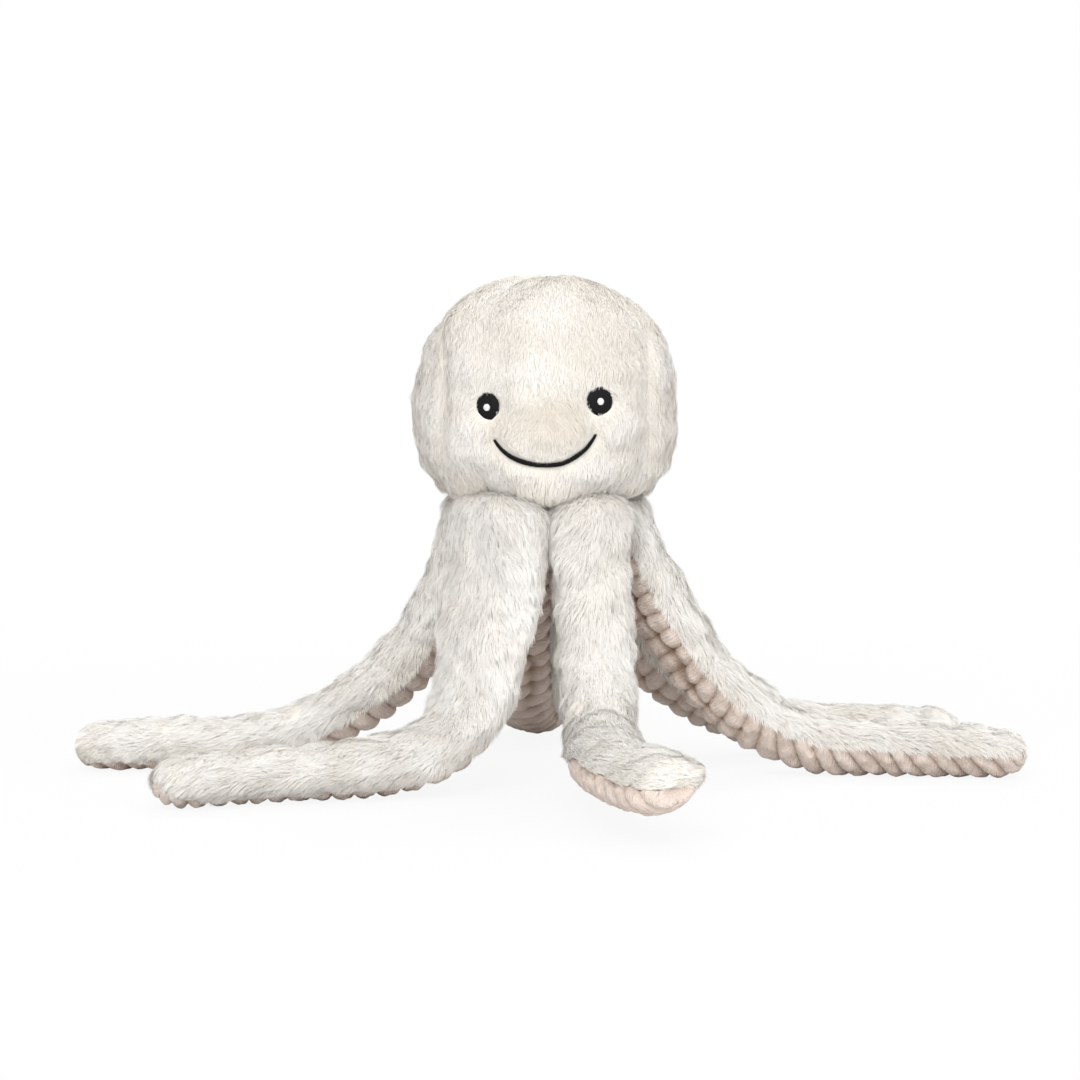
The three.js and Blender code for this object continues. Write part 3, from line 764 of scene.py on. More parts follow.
class ArmRoute:
    """An arm's centre line and its size along it, as the frame has them."""

    def __init__(self, pose: ArmPose, sizes: ToySizes) -> None:
        """Works out the line from the pose, then moves it to the frame's own root joint."""
        self.pose = pose
        self.sizes = sizes
        root = heading(pose.root_deg) * sizes.root_ring_radius
        root[2] = sizes.root_height
        self.line = self.swept(root)
        joint = next(j for j in FRAME["joints"] if j["child"] == f"{pose.name}_arm_upper")
        self.line += np.array(joint["pos_m"]) / MM - root
        steps = np.linalg.norm(np.diff(self.line, axis=0), axis=1)
        self.places = np.concatenate([[0], np.cumsum(steps)])

    def swept(self, root: Array) -> Array:
        """The line's points: down from the head in one sweep, then along the ground."""
        pose, sizes = self.pose, self.sizes
        landing = root + heading(pose.land_deg) * pose.reach_share * sizes.neck_height
        raised = pose.land_raise_share * sizes.neck_height
        landing[2] = self.lying_height(sizes.arm_length) + raised
        span = float(np.linalg.norm(landing - root))
        first = root + heading(pose.drop_deg, pose.steep_deg) * pose.pull_shares[0] * span
        second = landing - heading(pose.lay_deg) * pose.pull_shares[1] * span
        t = np.linspace(0, 1, 241)[:, None]

        def drop() -> Array:
            left = 1 - t
            return root * left**3 + 3 * first * t * left**2 + 3 * second * t**2 * left + landing * t**3

        landing[2] = self.lying_height(self.measured(drop())) + raised
        upper = drop()
        rest = sizes.arm_length - self.measured(upper)
        bend = landing + heading(pose.lay_deg) * rest / 2
        tip = bend + heading(pose.tip_deg) * rest / 2
        tip[2] = self.lying_height(sizes.arm_length) + pose.tip_raise_share * sizes.neck_height
        bend[2] = (landing[2] + tip[2]) / 2
        lower = landing * (1 - t) ** 2 + 2 * bend * t * (1 - t) + tip * t**2
        return np.concatenate([upper, lower[1:]])

    @staticmethod
    def measured(line: Array) -> float:
        """The length of a line of points."""
        return float(np.linalg.norm(np.diff(line, axis=0), axis=1).sum())

    def along(self, values: tuple[float, float, float], place) -> Array:
        """A value between those chosen for the root, the knee and the tip."""
        knee = self.pose.knee_share * self.sizes.arm_length
        return np.interp(place, [0, knee, self.sizes.arm_length], values)

    def half_sizes(self, place) -> tuple[Array, Array]:
        """Half the arm's width and thickness at places along it."""
        sizes = self.sizes
        swell = eased(np.asarray(place, float), 0, sizes.swell_length)
        past = np.maximum(np.asarray(place) - sizes.swell_length, 0)
        taper = past / (sizes.arm_length - sizes.swell_length)
        wide = sizes.root_width + (sizes.arm_width - sizes.root_width) * swell
        wide = wide + (sizes.tip_width - sizes.arm_width) * taper
        wide = wide * self.along(self.pose.width_shares, place)
        thick = sizes.root_thickness + (sizes.arm_thickness - sizes.root_thickness) * swell
        thick = thick + (sizes.tip_thickness - sizes.arm_thickness) * taper
        return wide / 2, thick / 2

    def lying_height(self, place: float) -> float:
        """How high the centre line runs where the arm lies on the ground."""
        wide, thick = self.half_sizes(place)
        roll = math.radians(float(self.along(self.pose.roll_degs, place)))
        return math.hypot(float(thick) * math.cos(roll), float(wide) * math.sin(roll)) - self.sizes.floor_cut

    def point(self, place: Array) -> Array:
        """Places on the centre line."""
        return np.stack([np.interp(place, self.places, self.line[:, i]) for i in range(3)], -1)

    def frame(self, place: Array) -> tuple[Array, Array, Array, Array]:
        """Point, way ahead, side and upper direction at places along the arm."""
        place = np.asarray(place, float)
        ahead = unit(self.point(place + 1) - self.point(place - 1))
        side = unit(np.cross(ahead, [0, 0, 1]))
        roll = np.radians(self.along(self.pose.roll_degs, place))[..., None]
        side = side * np.cos(roll) + np.cross(ahead, side) * np.sin(roll)
        return self.point(place), ahead, side, np.cross(side, ahead)

    @property
    def knee(self) -> float:
        """The place of the mid bend along the arm."""
        return self.pose.knee_share * self.sizes.arm_length


@dataclass
class Arm:
    """One arm: a coat of fur over the top, ribbed plush below, and the stuffing inside both."""

    pose: ArmPose
    sizes: ToySizes
    number: int
    seam_deg: float = 19.0
    seam_rise: float = 150.0
    seam_level: float = 80.0
    pile_inset: float = 2.5
    root_lobe: float = 8.5
    root_rise: float = 6.0
    root_press: float = 6.5
    rib_pitch: float = 9.4
    rib_depth: float = 3.5
    rib_edge_inset: float = 3.5
    rib_slant: float = -1.1
    rib_sag: float = 0.12
    rib_tuck: float = 2.6
    rib_crease: float = -0.25
    fill_inset: float = 7.5
    bend_reach: float = 22.0
    fullness: float = 0.75
    coat_lap_deg: float = 3.0
    rib_lap_deg: float = 4.0
    coat_lumps: tuple[Wander, Wander] = (Wander(0.9, 26, 40), Wander(0.5, 12, 50))
    rib_wander: Wander = Wander(0.08, 30, 60)
    rib_lumps: Wander = Wander(0.45, 8, 70)
    crease_wander: Wander = Wander(0.12, 34, 90)
    fill_lumps: Wander = Wander(0.5, 14, 80)
    side_comb: float = 0.7
    tip_comb: float = 1.6
    knee_reach: float = 40.0
    end_reach: float = 26.0
    fold_reach: float = 25.0
    buried_share: float = 0.76
    buried_span: float = 95.0
    # painted light: how much lighter the arms' pile is than the same fur on the head
    painted_light_lift: float = 0.12
    # the fringe's tone step is painted shade at the coat's lower edges
    fringe: Touch = Touch(length=-0.35, density=0.3, tone=-0.3)
    beside: Touch = Touch(length=0.2, lean=-0.07)
    at_root: Touch = Touch(length=-0.15)
    at_tip: Touch = Touch(length=-0.25)
    on_ground: Touch = Touch(length=-0.35)
    # the lying tone step is painted light on the arm's top past the knee
    lying: Touch = Touch(length=-0.2, lean=0.06, tone=0.15)
    # the folded tone step is painted light, against the shade in the arm's bends
    folded: Touch = Touch(length=-0.2, lean=-0.05, tone=0.1)
    route: ArmRoute = field(init=False)

    def __post_init__(self) -> None:
        """Works out the arm's centre line."""
        self.route = ArmRoute(self.pose, self.sizes)

    def rounded(self, along: Array, inset: float) -> tuple[Array, Array, Array]:
        """Turns a share of the arm, with a dome at the root and at the tip, into a place on it.

        Args:
            along: From 0 at the dome over the root to 1 at the tip.
            inset: How far below the arm's outer surface the skin lies.

        Returns:
            The place along the arm, how far behind the root it lies, and the share of the full section.
        """
        sizes = self.sizes
        dome = sizes.root_thickness / 2 - inset
        tip = sizes.tip_round - inset
        length = sizes.arm_length - sizes.tip_round
        run = along * (dome * math.pi / 2 + length + tip * math.pi / 2) - dome * math.pi / 2
        root_turn = np.clip(-run / dome, 0, math.pi / 2)
        tip_turn = np.clip((run - length) / tip, 0, math.pi / 2)
        place = np.clip(run, 0, length) + tip * np.sin(tip_turn)
        share = np.cos(root_turn) * np.maximum(np.cos(tip_turn), 0) ** 0.8
        return place, dome * np.sin(root_turn), share

    def surface(self, deg: Array, along: Array, inset, lift=0.0) -> Array:
        """Places on the arm's skin.

        Args:
            deg: Angle round the section: 0 and 180 are the sides, 90 the top, 270 the underside.
            along: Share of the way from the root's dome to the tip.
            inset: Millimetres below the arm's outer surface that the whole skin lies.
            lift: Millimetres that each place stands above that skin.

        Returns:
            Places in millimetres.
        """
        place, behind, share = self.rounded(along, inset)
        share = share**self.fullness
        point, ahead, side, up = self.route.frame(place)
        wide, thick = self.route.half_sizes(place)
        turn = np.radians(deg)
        x = -(wide - inset) * share * np.cos(turn)
        y = (thick - inset) * share * np.sin(turn)
        out = unit(np.stack([-np.cos(turn) * thick, np.sin(turn) * wide], -1))
        out = out * (np.asarray(lift) * share)[..., None]
        found = point - ahead * behind[:, None] + side * (x + out[:, 0])[:, None]
        found = found + up * (y + out[:, 1])[:, None]
        found[:, 2] = np.maximum(found[:, 2], 0.15)
        return found

    def seams(self, along: Array) -> tuple[Array, Array]:
        """How many degrees below its two sides the arm's seams run, at shares of its length."""
        place, _, _ = self.rounded(along, self.pile_inset)
        tip = self.sizes.arm_length
        rise = eased(place, tip - self.seam_rise, tip - self.seam_level)
        first, second = (self.seam_deg + (deg - self.seam_deg) * rise for deg in self.pose.tip_seam_degs)
        return first, second

    def coat(self) -> bpy.types.Object:
        """The fur over the top and the sides."""

        def lumpy(u: Array, v: Array) -> Array:
            first, second = self.seams(v)
            lap = self.coat_lap_deg
            deg = -first - lap + (180 + 2 * lap + first + second) * u
            bare = self.surface(deg, v, self.pile_inset)
            lumps = sum(lump.over(bare, self.number) for lump in self.coat_lumps)
            place, behind, share = self.rounded(v, self.pile_inset)
            place = place - behind
            outer = np.maximum(np.sin(np.radians(deg)), 0)
            ahead = max(-math.sin(math.radians(self.pose.root_deg)), 0.15)
            lumps += self.root_lobe * ahead * (0.4 + 0.6 * outer) * hump(place - 2, 16)
            crowded = np.maximum(self.pose.crowded_way * np.cos(np.radians(deg)), 0)
            lumps += self.root_press * crowded * hump(place - 4, 28)
            found = self.surface(deg, v, self.pile_inset, lumps)
            found[:, 2] += self.root_rise * ahead * (0.3 + 0.7 * outer * share) * hump(place, 14)
            return found

        mesh = Sheet.over(lumpy, 44, 110)
        pile = Pile(seed=100 + self.number)
        piece = Piece.furred(f"{self.pose.name}_arm_coat", mesh, pile, self.combed(Skin.of(mesh)))
        self.keep_up(piece)
        return self.hung(piece, "fur")

    def combed(self, skin: Skin) -> Combing:
        """How the arm's pile lies.

        It runs along the arm, outwards at its sides and down at its seams. It is shorter at the ends, on
        the ground and in a fold, and there is none on cloth that a tight fold has buried.
        """
        place = self.nearest(skin.points)
        point, ahead, side, up = self.route.frame(place)
        out = skin.points - point
        wide, thick = self.route.half_sizes(place)
        sideways, level = np.sum(out * side, 1) / wide, np.sum(out * up, 1) / thick
        fringe = eased(-level, -0.15, 0.4)
        beside = np.sign(sideways) * eased(np.abs(sideways), 0, 1)
        past_knee = eased(place, self.route.knee, self.route.knee + self.knee_reach)
        turned = self.side_comb * beside - self.tip_comb * self.pose.tip_comb * past_knee
        nap = unit(ahead + side * turned[:, None]) * (1 - 0.4 * fringe)[:, None]
        combing = Combing.even(nap - up * (0.8 * fringe)[:, None])
        # painted light: the arms' pile is made lighter than the same fur on the head
        combing.tone += self.painted_light_lift
        # painted shade: the coat's lower edges, where it turns under the arm, are darker and warmer
        combing.touch(fringe, self.fringe)
        combing.touch(np.abs(beside), self.beside)
        length = self.sizes.arm_length
        combing.touch(1 - eased(place, 0, self.end_reach), self.at_root)
        combing.touch(eased(place, length - self.end_reach, length), self.at_tip)
        combing.touch(eased(15 - skin.points[:, 2], 0, 12) * (level < -0.2), self.on_ground)
        # painted light: the top of the arm past the knee, where it lies on the ground, is lighter
        combing.touch(past_knee * eased(level, 0.2, 0.7), self.lying)
        reaches = (np.clip(place + step, 1, length - 1) for step in (-self.fold_reach, self.fold_reach))
        before, after = (self.route.frame(reach)[1] for reach in reaches)
        # painted light: the upper side of the arm's bends is lighter, against the shade in the fold
        combing.touch(eased(1 - np.sum(before * after, 1), 0.06, 0.3) * eased(level, -0.2, 0.4), self.folded)
        buried = np.hypot(sideways, level) < self.buried_share
        combing.density *= ~(buried & (np.abs(place - length / 2) < self.buried_span))
        return combing

    def nearest(self, points: Array) -> Array:
        """For each place, the place along the arm whose cross-section it lies in."""
        samples = np.linspace(0, self.sizes.arm_length, 400)
        line = self.route.point(samples)
        tree = KDTree(len(line))
        for i, place in enumerate(line):
            tree.insert(place, i)
        tree.balance()
        return samples[np.array([tree.find(p)[1] for p in points])]

    @staticmethod
    def keep_up(piece: bpy.types.Object) -> None:
        """Lays what would reach below the ground on it."""
        mesh = piece.data
        points = np.zeros(len(mesh.vertices) * 3)
        mesh.vertices.foreach_get("co", points)
        points = points.reshape(-1, 3)
        points[:, 2] = np.maximum(points[:, 2], 0.1 * MM)
        mesh.vertices.foreach_set("co", points.ravel())

    def ribs(self) -> bpy.types.Object:
        """The ribbed plush under the arm: plump cords across it with deep furrows between them."""
        count = round(self.sizes.arm_length / self.rib_pitch)
        rng = np.random.default_rng(200 + self.number)
        swell = rng.uniform(0.8, 1.2, count + 3)
        bow = rng.uniform(-0.14, 0.14, count + 3)

        def shaped(u: Array, v: Array) -> Array:
            first, second = self.seams(v)
            lap = self.rib_lap_deg
            deg = 180 - lap + second + (180 + 2 * lap - first - second) * u
            across = 2 * u - 1
            bare = self.surface(deg, v, 0.5)
            run = v * (count + 1)
            phase = run + self.rib_wander.over(bare, self.number)
            phase = phase + np.interp(run, range(count + 3), bow) * across
            phase = phase + self.rib_slant * across * eased(v, 0.3, 0.8) + self.rib_sag * (across**2 - 0.4)
            rib = np.abs(np.sin(math.pi * phase)) ** 0.42
            plump = np.interp(phase, np.arange(count + 3) + 0.5, swell)
            edge = np.maximum(1 - np.abs(across) ** 4, 0) ** 0.5
            crease = self.rib_crease + self.crease_wander.over(bare, self.number)
            tuck = hump(across - crease, 0.09) * (1 - eased(v, 0.35, 0.6))
            lift = -self.rib_edge_inset * (1 - edge) - self.rib_depth * (1 - rib) * (0.35 + 0.65 * edge)
            lift -= self.rib_tuck * tuck
            lift += 1.1 * (plump - 1) * rib + self.rib_lumps.over(bare, self.number) * rib
            return self.surface(deg, v, 0.5, lift)

        mesh = Sheet.over(shaped, 36, 14 * (count + 1), 0.01)
        Sheet.thickened(mesh, 1.0)
        self.mark_furrows(mesh)
        piece = Piece.placed(f"{self.pose.name}_arm_ribs", mesh, RibFinish())
        return self.hung(piece, "ribbed_plush")

    def mark_furrows(self, mesh: bpy.types.Mesh) -> None:
        """Marks how deep each corner lies below the arm's outer surface, for the painted shade in the
        furrows.
        """
        skin = Skin.of(mesh)
        sizes = self.sizes
        length = sizes.arm_length - sizes.tip_round
        place = np.clip(self.nearest(skin.points), 0, length)
        point, ahead, side, up = self.route.frame(place)
        wide, thick = self.route.half_sizes(place)
        out = skin.points - point
        beyond = np.sum(out * ahead, 1)
        beyond = beyond / np.where(place > length / 2, sizes.tip_round, sizes.root_thickness / 2)
        beyond *= (place <= 0) | (place >= length)
        reach = np.sqrt((np.sum(out * side, 1) / wide) ** 2 + (np.sum(out * up, 1) / thick) ** 2 + beyond**2)
        depth = np.clip((1 - reach) * thick / (self.rib_depth + 0.5), 0, 1) ** 1.4
        mesh.attributes.new(FURROW, "FLOAT", "POINT").data.foreach_set("value", depth.astype(np.float32))

    def fill(self) -> bpy.types.Object:
        """The fibre stuffing inside both covers."""

        def lumpy(u: Array, v: Array) -> Array:
            bare = self.surface(360 * u, v, self.fill_inset)
            return self.surface(360 * u, v, self.fill_inset, self.fill_lumps.over(bare, self.number))

        mesh = Sheet.over(lumpy, 20, 60, 0.3)
        piece = Piece.placed(f"{self.pose.name}_arm_fill", mesh, FillFinish())
        return self.hung(piece, "stuffing")

    def hung(self, piece: bpy.types.Object, part: str) -> bpy.types.Object:
        """Fixes a piece's place in its mesh and hides the frame's two solids of the arm that it stands in
        for.
        """
        point, ahead, _, _ = self.route.frame(np.array([self.route.knee]))
        upper, lower = f"{self.pose.name}_arm_upper", f"{self.pose.name}_arm_lower"
        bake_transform(piece)
        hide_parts(f"{upper}_{part}", f"{lower}_{part}")
        return piece

    def build(self) -> None:
        """Makes the arm's pieces."""
        self.fill()
        self.ribs()
        self.coat()


@dataclass
class HeadShape:
    """The head's round form with its dents and swellings."""

    sizes: ToySizes
    centre: Array
    gather: float = 7.0
    gather_height: float = 16.0
    lobe_deg: float = 21.0
    steps_round: int = 120
    eye_dent: Swell = Swell(-1.8, 0, 1, 9, 1, 0.8)
    cheek: Swell = Swell(1.6, 36, -14, 12)
    brow: Swell = Swell(1.0, 0, 15, 8, 0.55)
    muzzle: Swell = Swell(1.2, 0, -4, 15, 0.75)
    smile_dent: float = 0.9
    seam_dent: float = 1.9
    lumps: tuple[Wander, Wander] = (Wander(1.1, 40, 3), Wander(0.5, 17, 4))

    def half_width(self, height: Array, inset: float) -> Array:
        """Half the head's width at a height, for a skin inset below the surface."""
        sizes = self.sizes
        above = height > sizes.cheek_level
        rise = np.where(above, sizes.crown_rise, sizes.cheek_curve) - inset
        roundness = np.where(above, sizes.crown_roundness, 2.0)
        share = np.minimum(np.abs(height - sizes.cheek_level) / rise, 1)
        return (sizes.head_width / 2 - inset) * (1 - share**roundness) ** (1 / roundness)

    def front(self, x: Array, height: Array, inset: float) -> Array:
        """How far in front of the head's middle its surface lies, as a negative place along Y."""
        half = self.half_width(height, inset)
        depth = (self.sizes.head_depth / 2 - inset) / (self.sizes.head_width / 2 - inset)
        return -depth * np.sqrt(np.maximum(half**2 - x**2, 0))

    def profile(self, inset: float) -> list[Vector]:
        """The half outline that is spun round: across the underside, round its edge and up to the crown."""
        sizes = self.sizes
        low = sizes.neck_height + 2.5
        edge = 5.0
        rim = float(self.half_width(np.array(low + edge), inset))
        points = [Vector((r, 0, low)) for r in (14, 24, 34, 42, rim - edge - 1)]
        for i in range(1, 5):
            turn = i / 5 * math.pi / 2
            points.append(Vector((rim - edge + edge * math.sin(turn), 0, low + edge - edge * math.cos(turn))))
        top = sizes.cheek_level + sizes.crown_rise - inset
        for i in range(1, 19):
            height = low + edge + (sizes.cheek_level - low - edge) * i / 18
            points.append(Vector((float(self.half_width(np.array(height), inset)), 0, height)))
        for i in range(1, 30):
            height = sizes.cheek_level + (top - sizes.cheek_level) * math.sin(i / 30 * math.pi / 2)
            points.append(Vector((float(self.half_width(np.array(height), inset)), 0, height)))
        points.append(Vector((0, 0, top)))
        return points

    def spun(self, inset: float) -> bmesh.types.BMesh:
        """The whole head as a bmesh, spun from its outline and pressed to its depth."""
        bm = bmesh.new()
        corners = [bm.verts.new(point) for point in self.profile(inset)]
        edges = [bm.edges.new(pair) for pair in zip(corners, corners[1:])]
        bmesh.ops.spin(
            bm, geom=corners + edges, cent=(0, 0, 0), axis=(0, 0, 1),
            angle=2 * math.pi, steps=self.steps_round, use_merge=True,
        )
        bmesh.ops.remove_doubles(bm, verts=bm.verts, dist=0.01)
        depth = (self.sizes.head_depth / 2 - inset) / (self.sizes.head_width / 2 - inset)
        bmesh.ops.scale(bm, vec=(1, depth, 1), verts=bm.verts)
        bmesh.ops.recalc_face_normals(bm, faces=bm.faces)
        bm.normal_update()
        points = np.array([v.co for v in bm.verts])
        for vertex, lift, drawn in zip(bm.verts, self.relief(points), self.gathered(points)):
            vertex.co += vertex.normal * lift
            vertex.co.xy -= vertex.co.xy.normalized() * drawn
        return bm

    def gathered(self, points: Array) -> Array:
        """How far the rim is drawn in, behind the lobe of each arm."""
        turn = np.degrees(np.arctan2(points[:, 1], points[:, 0]))
        near = sum(hump((turn - pose.root_deg + 180) % 360 - 180, self.lobe_deg) for pose in ARM_POSES)
        low = self.sizes.neck_height
        out = eased(np.hypot(points[:, 0], points[:, 1]), 25, 45)
        return self.gather * near * out * (1 - eased(points[:, 2], low, low + self.gather_height))

    def face_plane(self, points: Array) -> tuple[Array, Array]:
        """Places seen square on to the face: across it and above the neck."""
        roll = math.radians(self.sizes.face_roll_deg)
        x, z = points[:, 0] - self.sizes.face_shift, points[:, 2] - self.sizes.neck_height
        return x * math.cos(roll) + z * math.sin(roll), z * math.cos(roll) - x * math.sin(roll)

    @staticmethod
    def in_front(points: Array) -> Array:
        """One on the face, and zero on the back of the head."""
        return eased(-points[:, 1], 5, 30)

    def relief(self, points: Array) -> Array:
        """How far each place of the head stands out from its plain form."""
        sizes = self.sizes
        x, z = self.face_plane(points)
        front = self.in_front(points)
        above = z - sizes.eye_level
        lift = np.zeros(len(points))
        for way in (-1, 1):
            beside = x - way * sizes.eye_spacing / 2
            lift += self.eye_dent.over(beside, above) * front
            lift += self.cheek.over(way * x, above) * front
            lift += self.brow.over(beside, above) * front
        lift += self.muzzle.over(x, above) * front
        lift -= self.smile_dent * hump(self.smile_distance(x, z), 4) * front
        seam = hump(np.abs(points[:, 0]) - sizes.side_seam, 3)
        lift -= self.seam_dent * seam * eased(np.abs(points[:, 1]), 8, 32)
        lift += sum(lump.over(points) for lump in self.lumps)
        return lift

    def smile_arc(self) -> tuple[float, float, float]:
        """The smile's radius, the height of its centre and half the angle that it spans."""
        half, dip = self.sizes.smile_width / 2, self.sizes.smile_dip
        radius = (half * half + dip * dip) / (2 * dip)
        return radius, self.sizes.smile_level - dip + radius, math.asin(half / radius)

    def smile_distance(self, x: Array, z: Array) -> Array:
        """How far places on the face lie from the smile's line."""
        radius, middle, spread = self.smile_arc()
        turn = np.clip(np.arctan2(x, middle - z), -spread, spread)
        return np.hypot(x - radius * np.sin(turn), z - middle + radius * np.cos(turn))

    def eye_distance(self, x: Array, z: Array, way: int) -> Array:
        """How far places on the face lie outside an eye's edge, with negative values inside it."""
        dx, dz = x - way * self.sizes.eye_spacing / 2, z - self.sizes.eye_level
        half = (self.sizes.eye_width / 2, self.sizes.eye_height / 2)
        return (np.hypot(dx / half[0], dz / half[1]) - 1) * half[0]


@dataclass
class Head:
    """The head: four furred panels, the underside between the arms, the stuffing and the face."""

    sizes: ToySizes
    pile_inset: float = 1.3
    pile: Pile = Pile(
        length=5.2, width=0.22, sunk=0.6, lean_deg=76, lean_spread_deg=3, turn_deg=6,
        twist_deg=7, tuft_spacing=2.2, tuft_pull=0.05, tone_spread=0.05,
    )
    # painted shade: how much darker the head's pile is than the same fur on the arms
    painted_shade_drop: float = 0.12
    muzzle_hill: Swell = Swell(1, 0, 38, 17, 0.8)
    cheek_hill: Swell = Swell(1, 37, -11, 9)
    muzzle: Touch = Touch(length=-0.35, lean=-0.3, tone=-0.5)
    by_eye: Touch = Touch(length=-0.25)
    cheek: Touch = Touch(length=0.25, tone=0.2)
    by_smile: Touch = Touch(length=-0.5)
    by_seam: Touch = Touch(length=-0.3)
    # the tone steps at the rim and the edge are painted shade under the head
    at_rim: Touch = Touch(length=0.35, tone=-0.35)
    at_edge: Touch = Touch(tone=-0.4)
    shape: HeadShape = field(init=False)

    def __post_init__(self) -> None:
        """Finds the head's middle from the frame's own boxes."""
        left, right = (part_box(f"head_side_panel_{side}") for side in ("left", "right"))
        middle = (np.array(left[0]) + np.array(right[1])) / 2 / MM
        self.shape = HeadShape(self.sizes, np.array([middle[0], middle[1], 0]))

    def moved(self, mesh: bpy.types.Mesh) -> bpy.types.Mesh:
        """Moves a mesh made round the Z axis to where the frame's head is."""
        mesh.transform(Matrix.Translation(Vector(self.shape.centre)))
        return mesh

    def panel(
        self, name: str, cuts: list[tuple[Vector, Vector]], way: Vector, density: float, seed: int
    ) -> None:
        """Makes one furred panel.

        Args:
            name: The panel's name in the frame, without the word head.
            cuts: For each seam, a point on it and the direction that is cut off.
            way: The direction in which the panel's pile is combed.
            density: Strands to a square millimetre.
            seed: Number that fixes its strands.
        """
        bm = self.shape.spun(self.pile_inset)
        for point, away in cuts:
            everything = bm.verts[:] + bm.edges[:] + bm.faces[:]
            bmesh.ops.bisect_plane(bm, geom=everything, plane_co=point, plane_no=away, clear_outer=True)
        mesh = Sheet.meshed(bm)
        combing = self.combed(Skin.of(mesh), way)
        pile = replace(self.pile, density=density, seed=seed)
        self.moved(mesh)
        piece = Piece.furred(f"head_{name}_fur", mesh, pile, combing)
        Piece.on_head(piece, f"head_{name}", "ivory_fur")

    def combed(self, skin: Skin, way: Vector) -> Combing:
        """How the head's pile lies: down from the crown, away from the eyes and the smile.

        Args:
            skin: The panel, with the head's middle on the Z axis.
            way: The direction in which the panel's pile is combed.

        Returns:
            The combing at the skin's corners.
        """
        points = skin.points
        x, z = self.shape.face_plane(points)
        front = self.shape.in_front(points)
        low = eased(self.sizes.cheek_level - 10 - points[:, 2], 0, 30)
        combing = Combing.even(np.tile(np.array(way), (len(points), 1)))
        combing.nap[:, 0] -= 0.5 * low * points[:, 0] / 50
        # painted shade: the head's pile is made darker than the same fur on the arms
        combing.tone -= self.painted_shade_drop
        muzzle = self.muzzle_hill.over(x, z) * front
        combing.draw(x, z - self.muzzle_hill.above, 0.9 * muzzle)
        combing.touch(muzzle, self.muzzle)
        for side in (-1, 1):
            self.part_at_eye(combing, x, z, front, side)
        self.part_at_smile(combing, x, z, front)
        combing.touch(hump(np.abs(points[:, 0]) - self.sizes.side_seam, 3), self.by_seam)
        rim = eased(self.sizes.neck_height + 14 - points[:, 2], 0, 12)
        combing.nap[:, :2] -= 0.4 * rim[:, None] * unit(points[:, :2])
        # painted shade: the pile is darker and warmer towards the head's lower rim over the arms, most along
        # its last few millimetres
        combing.touch(rim, self.at_rim)
        combing.touch(eased(self.sizes.neck_height + 6 - points[:, 2], 0, 4), self.at_edge)
        combing.density *= np.where(skin.normals[:, 2] < -0.9, 0.4, 1)
        return combing

    def part_at_eye(self, combing: Combing, x: Array, z: Array, front: Array, side: int) -> None:
        """Combs the pile away from an eye, leaves none under it, and makes the cheek below it full."""
        across, above = x - side * self.sizes.eye_spacing / 2, z - self.sizes.eye_level
        gap = self.shape.eye_distance(x, z, side)
        near = hump(np.maximum(gap, 0), 3) * front
        combing.draw(across, above, 1.4 * near)
        combing.touch(near, self.by_eye)
        combing.density *= np.where((gap < 0.2) & (front > 0.5), 0, 1)
        combing.touch(self.cheek_hill.over(side * x, above) * front, self.cheek)

    def part_at_smile(self, combing: Combing, x: Array, z: Array, front: Array) -> None:
        """Combs the pile away from the smile on both its sides, and leaves none under it."""
        gap = self.shape.smile_distance(x, z)
        radius, middle, _ = self.shape.smile_arc()
        outside = np.sign(np.hypot(x, z - middle) - radius)
        near = hump(np.maximum(gap - 1, 0), 3) * front
        combing.draw(x, z - middle, 2.6 * outside * near)
        combing.touch(near, self.by_smile)
        combing.density *= np.where((gap < 1.3) & (front > 0.5), 0, 1)

    def panels(self) -> None:
        """The four furred panels."""
        seam = self.sizes.side_seam
        left, right = Vector((-seam, 0, 0)), Vector((seam, 0, 0))
        east, north = Vector((1, 0, 0)), Vector((0, 1, 0))
        middle, sides = Vector((0, 0, 0)), [(right, east), (left, -east)]
        self.panel("face_panel", [(middle, north), *sides], Vector((0, -0.3, -1.3)), 3.6, 11)
        self.panel("back_panel", [(middle, -north), *sides], Vector((0, 0.3, -1.3)), 3.0, 12)
        self.panel("side_panel_left", [(left, east)], Vector((-0.5, -0.25, -1.2)), 3.4, 13)
        self.panel("side_panel_right", [(right, -east)], Vector((0.5, -0.25, -1.2)), 3.4, 14)

    def underside(self) -> None:
        """The ribbed cloth that closes the head between the arms."""
        low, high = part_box("head_underside_panel")
        radius = (high.x - low.x) / 2 / MM
        thickness = (high.z - low.z) / MM
        bm = bmesh.new()
        bmesh.ops.create_circle(bm, cap_ends=True, segments=64, radius=radius - 1)
        grown = bmesh.ops.extrude_face_region(bm, geom=bm.faces[:])
        lifted = [item for item in grown["geom"] if isinstance(item, bmesh.types.BMVert)]
        bmesh.ops.translate(bm, vec=(0, 0, thickness), verts=lifted)
        bmesh.ops.recalc_face_normals(bm, faces=bm.faces)
        rims = [edge for edge in bm.edges if len(edge.link_faces) == 2 and edge.calc_face_angle() > 1]
        bmesh.ops.bevel(bm, geom=rims, offset=1.5, segments=4, profile=0.5, affect="EDGES", material=-1)
        mesh = Sheet.meshed(bm)
        mesh.transform(Matrix.Translation(Vector(((low.x + high.x) / 2, (low.y + high.y) / 2, low.z)) / MM))
        mesh.attributes.new(FURROW, "FLOAT", "POINT")
        piece = Piece.placed("head_underside_cloth", mesh, RibFinish())
        Piece.on_head(piece, "head_underside_panel", "ribbed_plush")

    def fill(self) -> None:
        """The head's stuffing."""
        mesh = self.moved(Sheet.meshed(self.shape.spun(9.0)))
        piece = Piece.placed("head_fill", mesh, FillFinish())
        Piece.on_head(piece, "head_stuffing", "fibre_fill")

